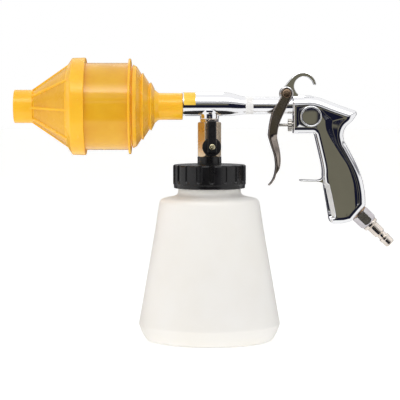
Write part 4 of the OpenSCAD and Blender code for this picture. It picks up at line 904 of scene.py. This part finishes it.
hookBack = curve([[-7.4, 16.6], [-2, 23.3], [3.4, 27.6], [8.7, 28.9], [13.6, 27.6], [17.9, 24], [20.3, 18.4]])
hook = np.vstack([[[-9.5, 14.2]], hookBack, [[19.4, 17.6], [18.4, 18.2]], arc(9.4, 16.8, 8.4, 10, 232, 36),
                  [[5, 7.5], [-5, 7.5], [-11.5, 8.6]]])
addPiece("hangingHook", *slab(hook, 4, sideways(casting["x"], casting["z"])), made["chrome plate"], "gun",
         "chrome", sharp=50, bevel=0.7)
lug = rounded([(2.5, -8), (5.9, -8, 0.5), (5.9, 8, 0.5), (2.5, 8), (2.5, -8)])[:-1]
addPiece("pivotLug", *lathe(lug, across(*casting["pivot"], 1), 96, closed=True), made["chrome plate"],
         "gun", "chrome")
finger = np.vstack([curve([[6, -64.9], [15, -65.2], [22, -65.2], [25.4, -63.6], [26.6, -59]], 6),
                    [[30, -60], [31, -69.5]],
                    curve([[28.6, -70.5], [26.8, -68.2], [22, -66.6], [15, -66.4], [6.2, -66.1]], 6)])
addPiece("fingerRest", *slab(finger, 8, sideways(casting["x"], casting["z"])), made["chrome plate"], "gun",
         "chrome", sharp=50, bevel=0.5)
collar = rounded([(7.5, 72.4), (9, 72.4, 0.8), (9, 89), (7.5, 89), (7.5, 72.4)])[:-1]
stub = rounded([(3, -9), (8.1, -9), (8.1, -0.05, 0.7), (5.1, -0.05)])
addPiece("castingCollars", *merged(lathe(collar, alongX(casting["z"]), 96, closed=True),
                                   lathe(stub, inletPlace, 96)),
         made["chrome plate"], "gun", "chrome")
boss = rounded([(8.0, 10.6), (8.0, 12.75, 0.4), (9.1, 12.75, 0.6), (9.3, 10.6)])
dish = np.vstack([[[8.02, 10.9], [8.02, 11.95]],
                  curve([[7.6, 12.1], [5.5, 12.22], [3, 12.3], [0.05, 12.32]], 8)])
for side, name in ((-1, "near"), (1, "far")):
    spot = across(casting["x"] + casting["boss"][0], casting["z"] + casting["boss"][1], side)
    addPiece(name + "BossRing", *lathe(boss, spot, 128), made["chrome plate"], "gun", "chrome", sharp=60)
    addPiece(name + "BossDisc", *lathe(dish, spot, 128), made["chrome plate"], "gun", "chrome",
             ["side_discs"] if side == 1 else [], sharp=60)
print("gun casting made")


trigger = {"pivot": (67, 216.1), "ear": 5.3, "gauge": 1.4, "gap": 8.3, "lean": 0.62, "leanFrom": -35.5,
           "leanTo": -41, "webTop": -18.6, "flangeEnd": -71, "tipHalf": 6.2}
upperFront = curve([[-4.6, -2.6], [-9, -9.8], [-12.6, -17.7], [-14.7, -27.1], [-15.8, -36.4]], 8)
lowerFront = curve([[-15.5, -38.2], [-13.2, -45.8], [-10.4, -54.5], [-9.4, -64.1], [-10.6, -71.8],
                    [-12.8, -76.5], [-15.8, -79.8]], 8)
rearEdge = curve([[-8.6, -70], [-5.9, -65.4], [-4.9, -58.3], [-5.6, -50], [-7.9, -39], [-7.8, -34.5],
                  [-5.8, -25.3], [0, -12.3], [4.7, -2.2]], 8)[::-1]
frontEdge = np.vstack([upperFront, lowerFront])


def sheetSection(width, gauge, steps=5):
    # a sheet cut across: flat faces and round edges, as (across, thickness) for each row's own width
    e = gauge / 2
    a = np.linspace(0, pi, steps)
    w = width[:, None]
    flat = np.linspace(0, 1, 9)[None, 1:-1]
    across = np.concatenate([e + (w - 2 * e) * flat, w - e + e * np.sin(a)[None, :],
                             w - e - (w - 2 * e) * flat, e - e * np.sin(a)[None, :] + 0 * w], 1)
    deep = np.concatenate([e + 0 * flat + 0 * w, e * np.cos(a)[None, :] + 0 * w, -e + 0 * flat + 0 * w,
                           -e * np.cos(a)[None, :] + 0 * w], 1)
    return across, deep


def flangeShape(side, rows=150):
    # rows run from the front edge to the rear edge; under the bend each row leans in towards the middle
    t = trigger
    flangeFront = frontEdge[frontEdge[:, 1] > t["flangeEnd"]]
    front = evenly(np.vstack([arc(0, 0, t["ear"], 90, 209, 16)[:-1], flangeFront]), rows)
    rear = evenly(np.vstack([arc(0, 0, t["ear"], 90, -24, 16)[:-1], rearEdge]), rows)
    front[0] -= [0.4, 0]
    rear[0] += [0.4, 0]
    d = unit(rear - front)
    width = np.maximum(np.linalg.norm(rear - front, axis=1), 1.5)
    across, deep = sheetSection(width, t["gauge"])
    leaning = (1 - step(t["leanTo"], t["leanFrom"], front[:, 1])) * step(-67, -60, front[:, 1])
    inwards = np.clip(across - 1.7, 0, np.maximum(width[:, None] - 3, 0.1))
    y = t["gap"] + t["gauge"] / 2 + deep - t["lean"] * leaning[:, None] * inwards
    x = t["pivot"][0] + front[:, :1] + d[:, :1] * across
    z = t["pivot"][1] + front[:, 1:] + d[:, 1:] * across
    n, m = x.shape
    faces = gridQuads(n, m, False, True).tolist() + [list(range(m))[::-1], list(range((n - 1) * m, n * m))]
    return np.stack([x, side * y, z], -1), faces


def webShape(rows=110):
    # the sheet between the flanges follows the front edge and narrows to a round tip
    t = trigger
    line = evenly(frontEdge[frontEdge[:, 1] < t["webTop"]], rows)
    slope = unit(np.gradient(line, axis=0))
    normal = np.column_stack([-slope[:, 1], slope[:, 0]])
    s = np.linspace(0, 1, rows)
    half = t["gap"] + 0.3 - (t["gap"] + 0.3 - t["tipHalf"]) * step(0.86, 0.97, s)
    half = half - 4.4 * np.clip((s - 0.965) / 0.035, 0, 1) ** 2
    across, deep = sheetSection(2 * half, t["gauge"])
    inwards = t["gauge"] / 2 + deep
    x = t["pivot"][0] + line[:, :1] + normal[:, :1] * inwards
    z = t["pivot"][1] + line[:, 1:] + normal[:, 1:] * inwards
    n, m = x.shape
    faces = gridQuads(n, m, False, True).tolist() + [list(range(m))[::-1], list(range((n - 1) * m, n * m))]
    return np.stack([x, across - half[:, None], z], -1), faces


addPiece("triggerNearFlange", *flangeShape(-1), made["dark plate"], "trigger", "dark_chrome", ["trigger"],
         sharp=60)
addPiece("triggerFarFlange", *flangeShape(1), made["dark plate"], "trigger", "dark_chrome", sharp=60)
addPiece("triggerWeb", *webShape(), made["dark plate"], "trigger", "dark_chrome", sharp=60)

rivet = {"shank": 2.4, "head": 3.6, "face": 9.8, "high": 1.1}
rivetTop = rivet["face"] + rivet["high"]
headPath = rounded([(1.9, rivet["face"]), (rivet["head"], rivet["face"], 0.2),
                    (rivet["head"], rivetTop - 0.2, 0.5), (1.6, rivetTop), (0.05, rivetTop)])
shank = rounded([(0.05, -rivet["face"]), (rivet["shank"], -rivet["face"]), (rivet["shank"], rivet["face"]),
                 (0.05, rivet["face"])])
heads = [lathe(headPath, across(*trigger["pivot"], side), 96) for side in (-1, 1)]
addPiece("triggerRivet", *merged(lathe(shank, across(*trigger["pivot"], 1), 64), *heads),
         made["copper-toned steel"], "gun", "copper_steel", ["trigger_rivet"], sharp=50)
print("trigger made")

print("all pieces made")
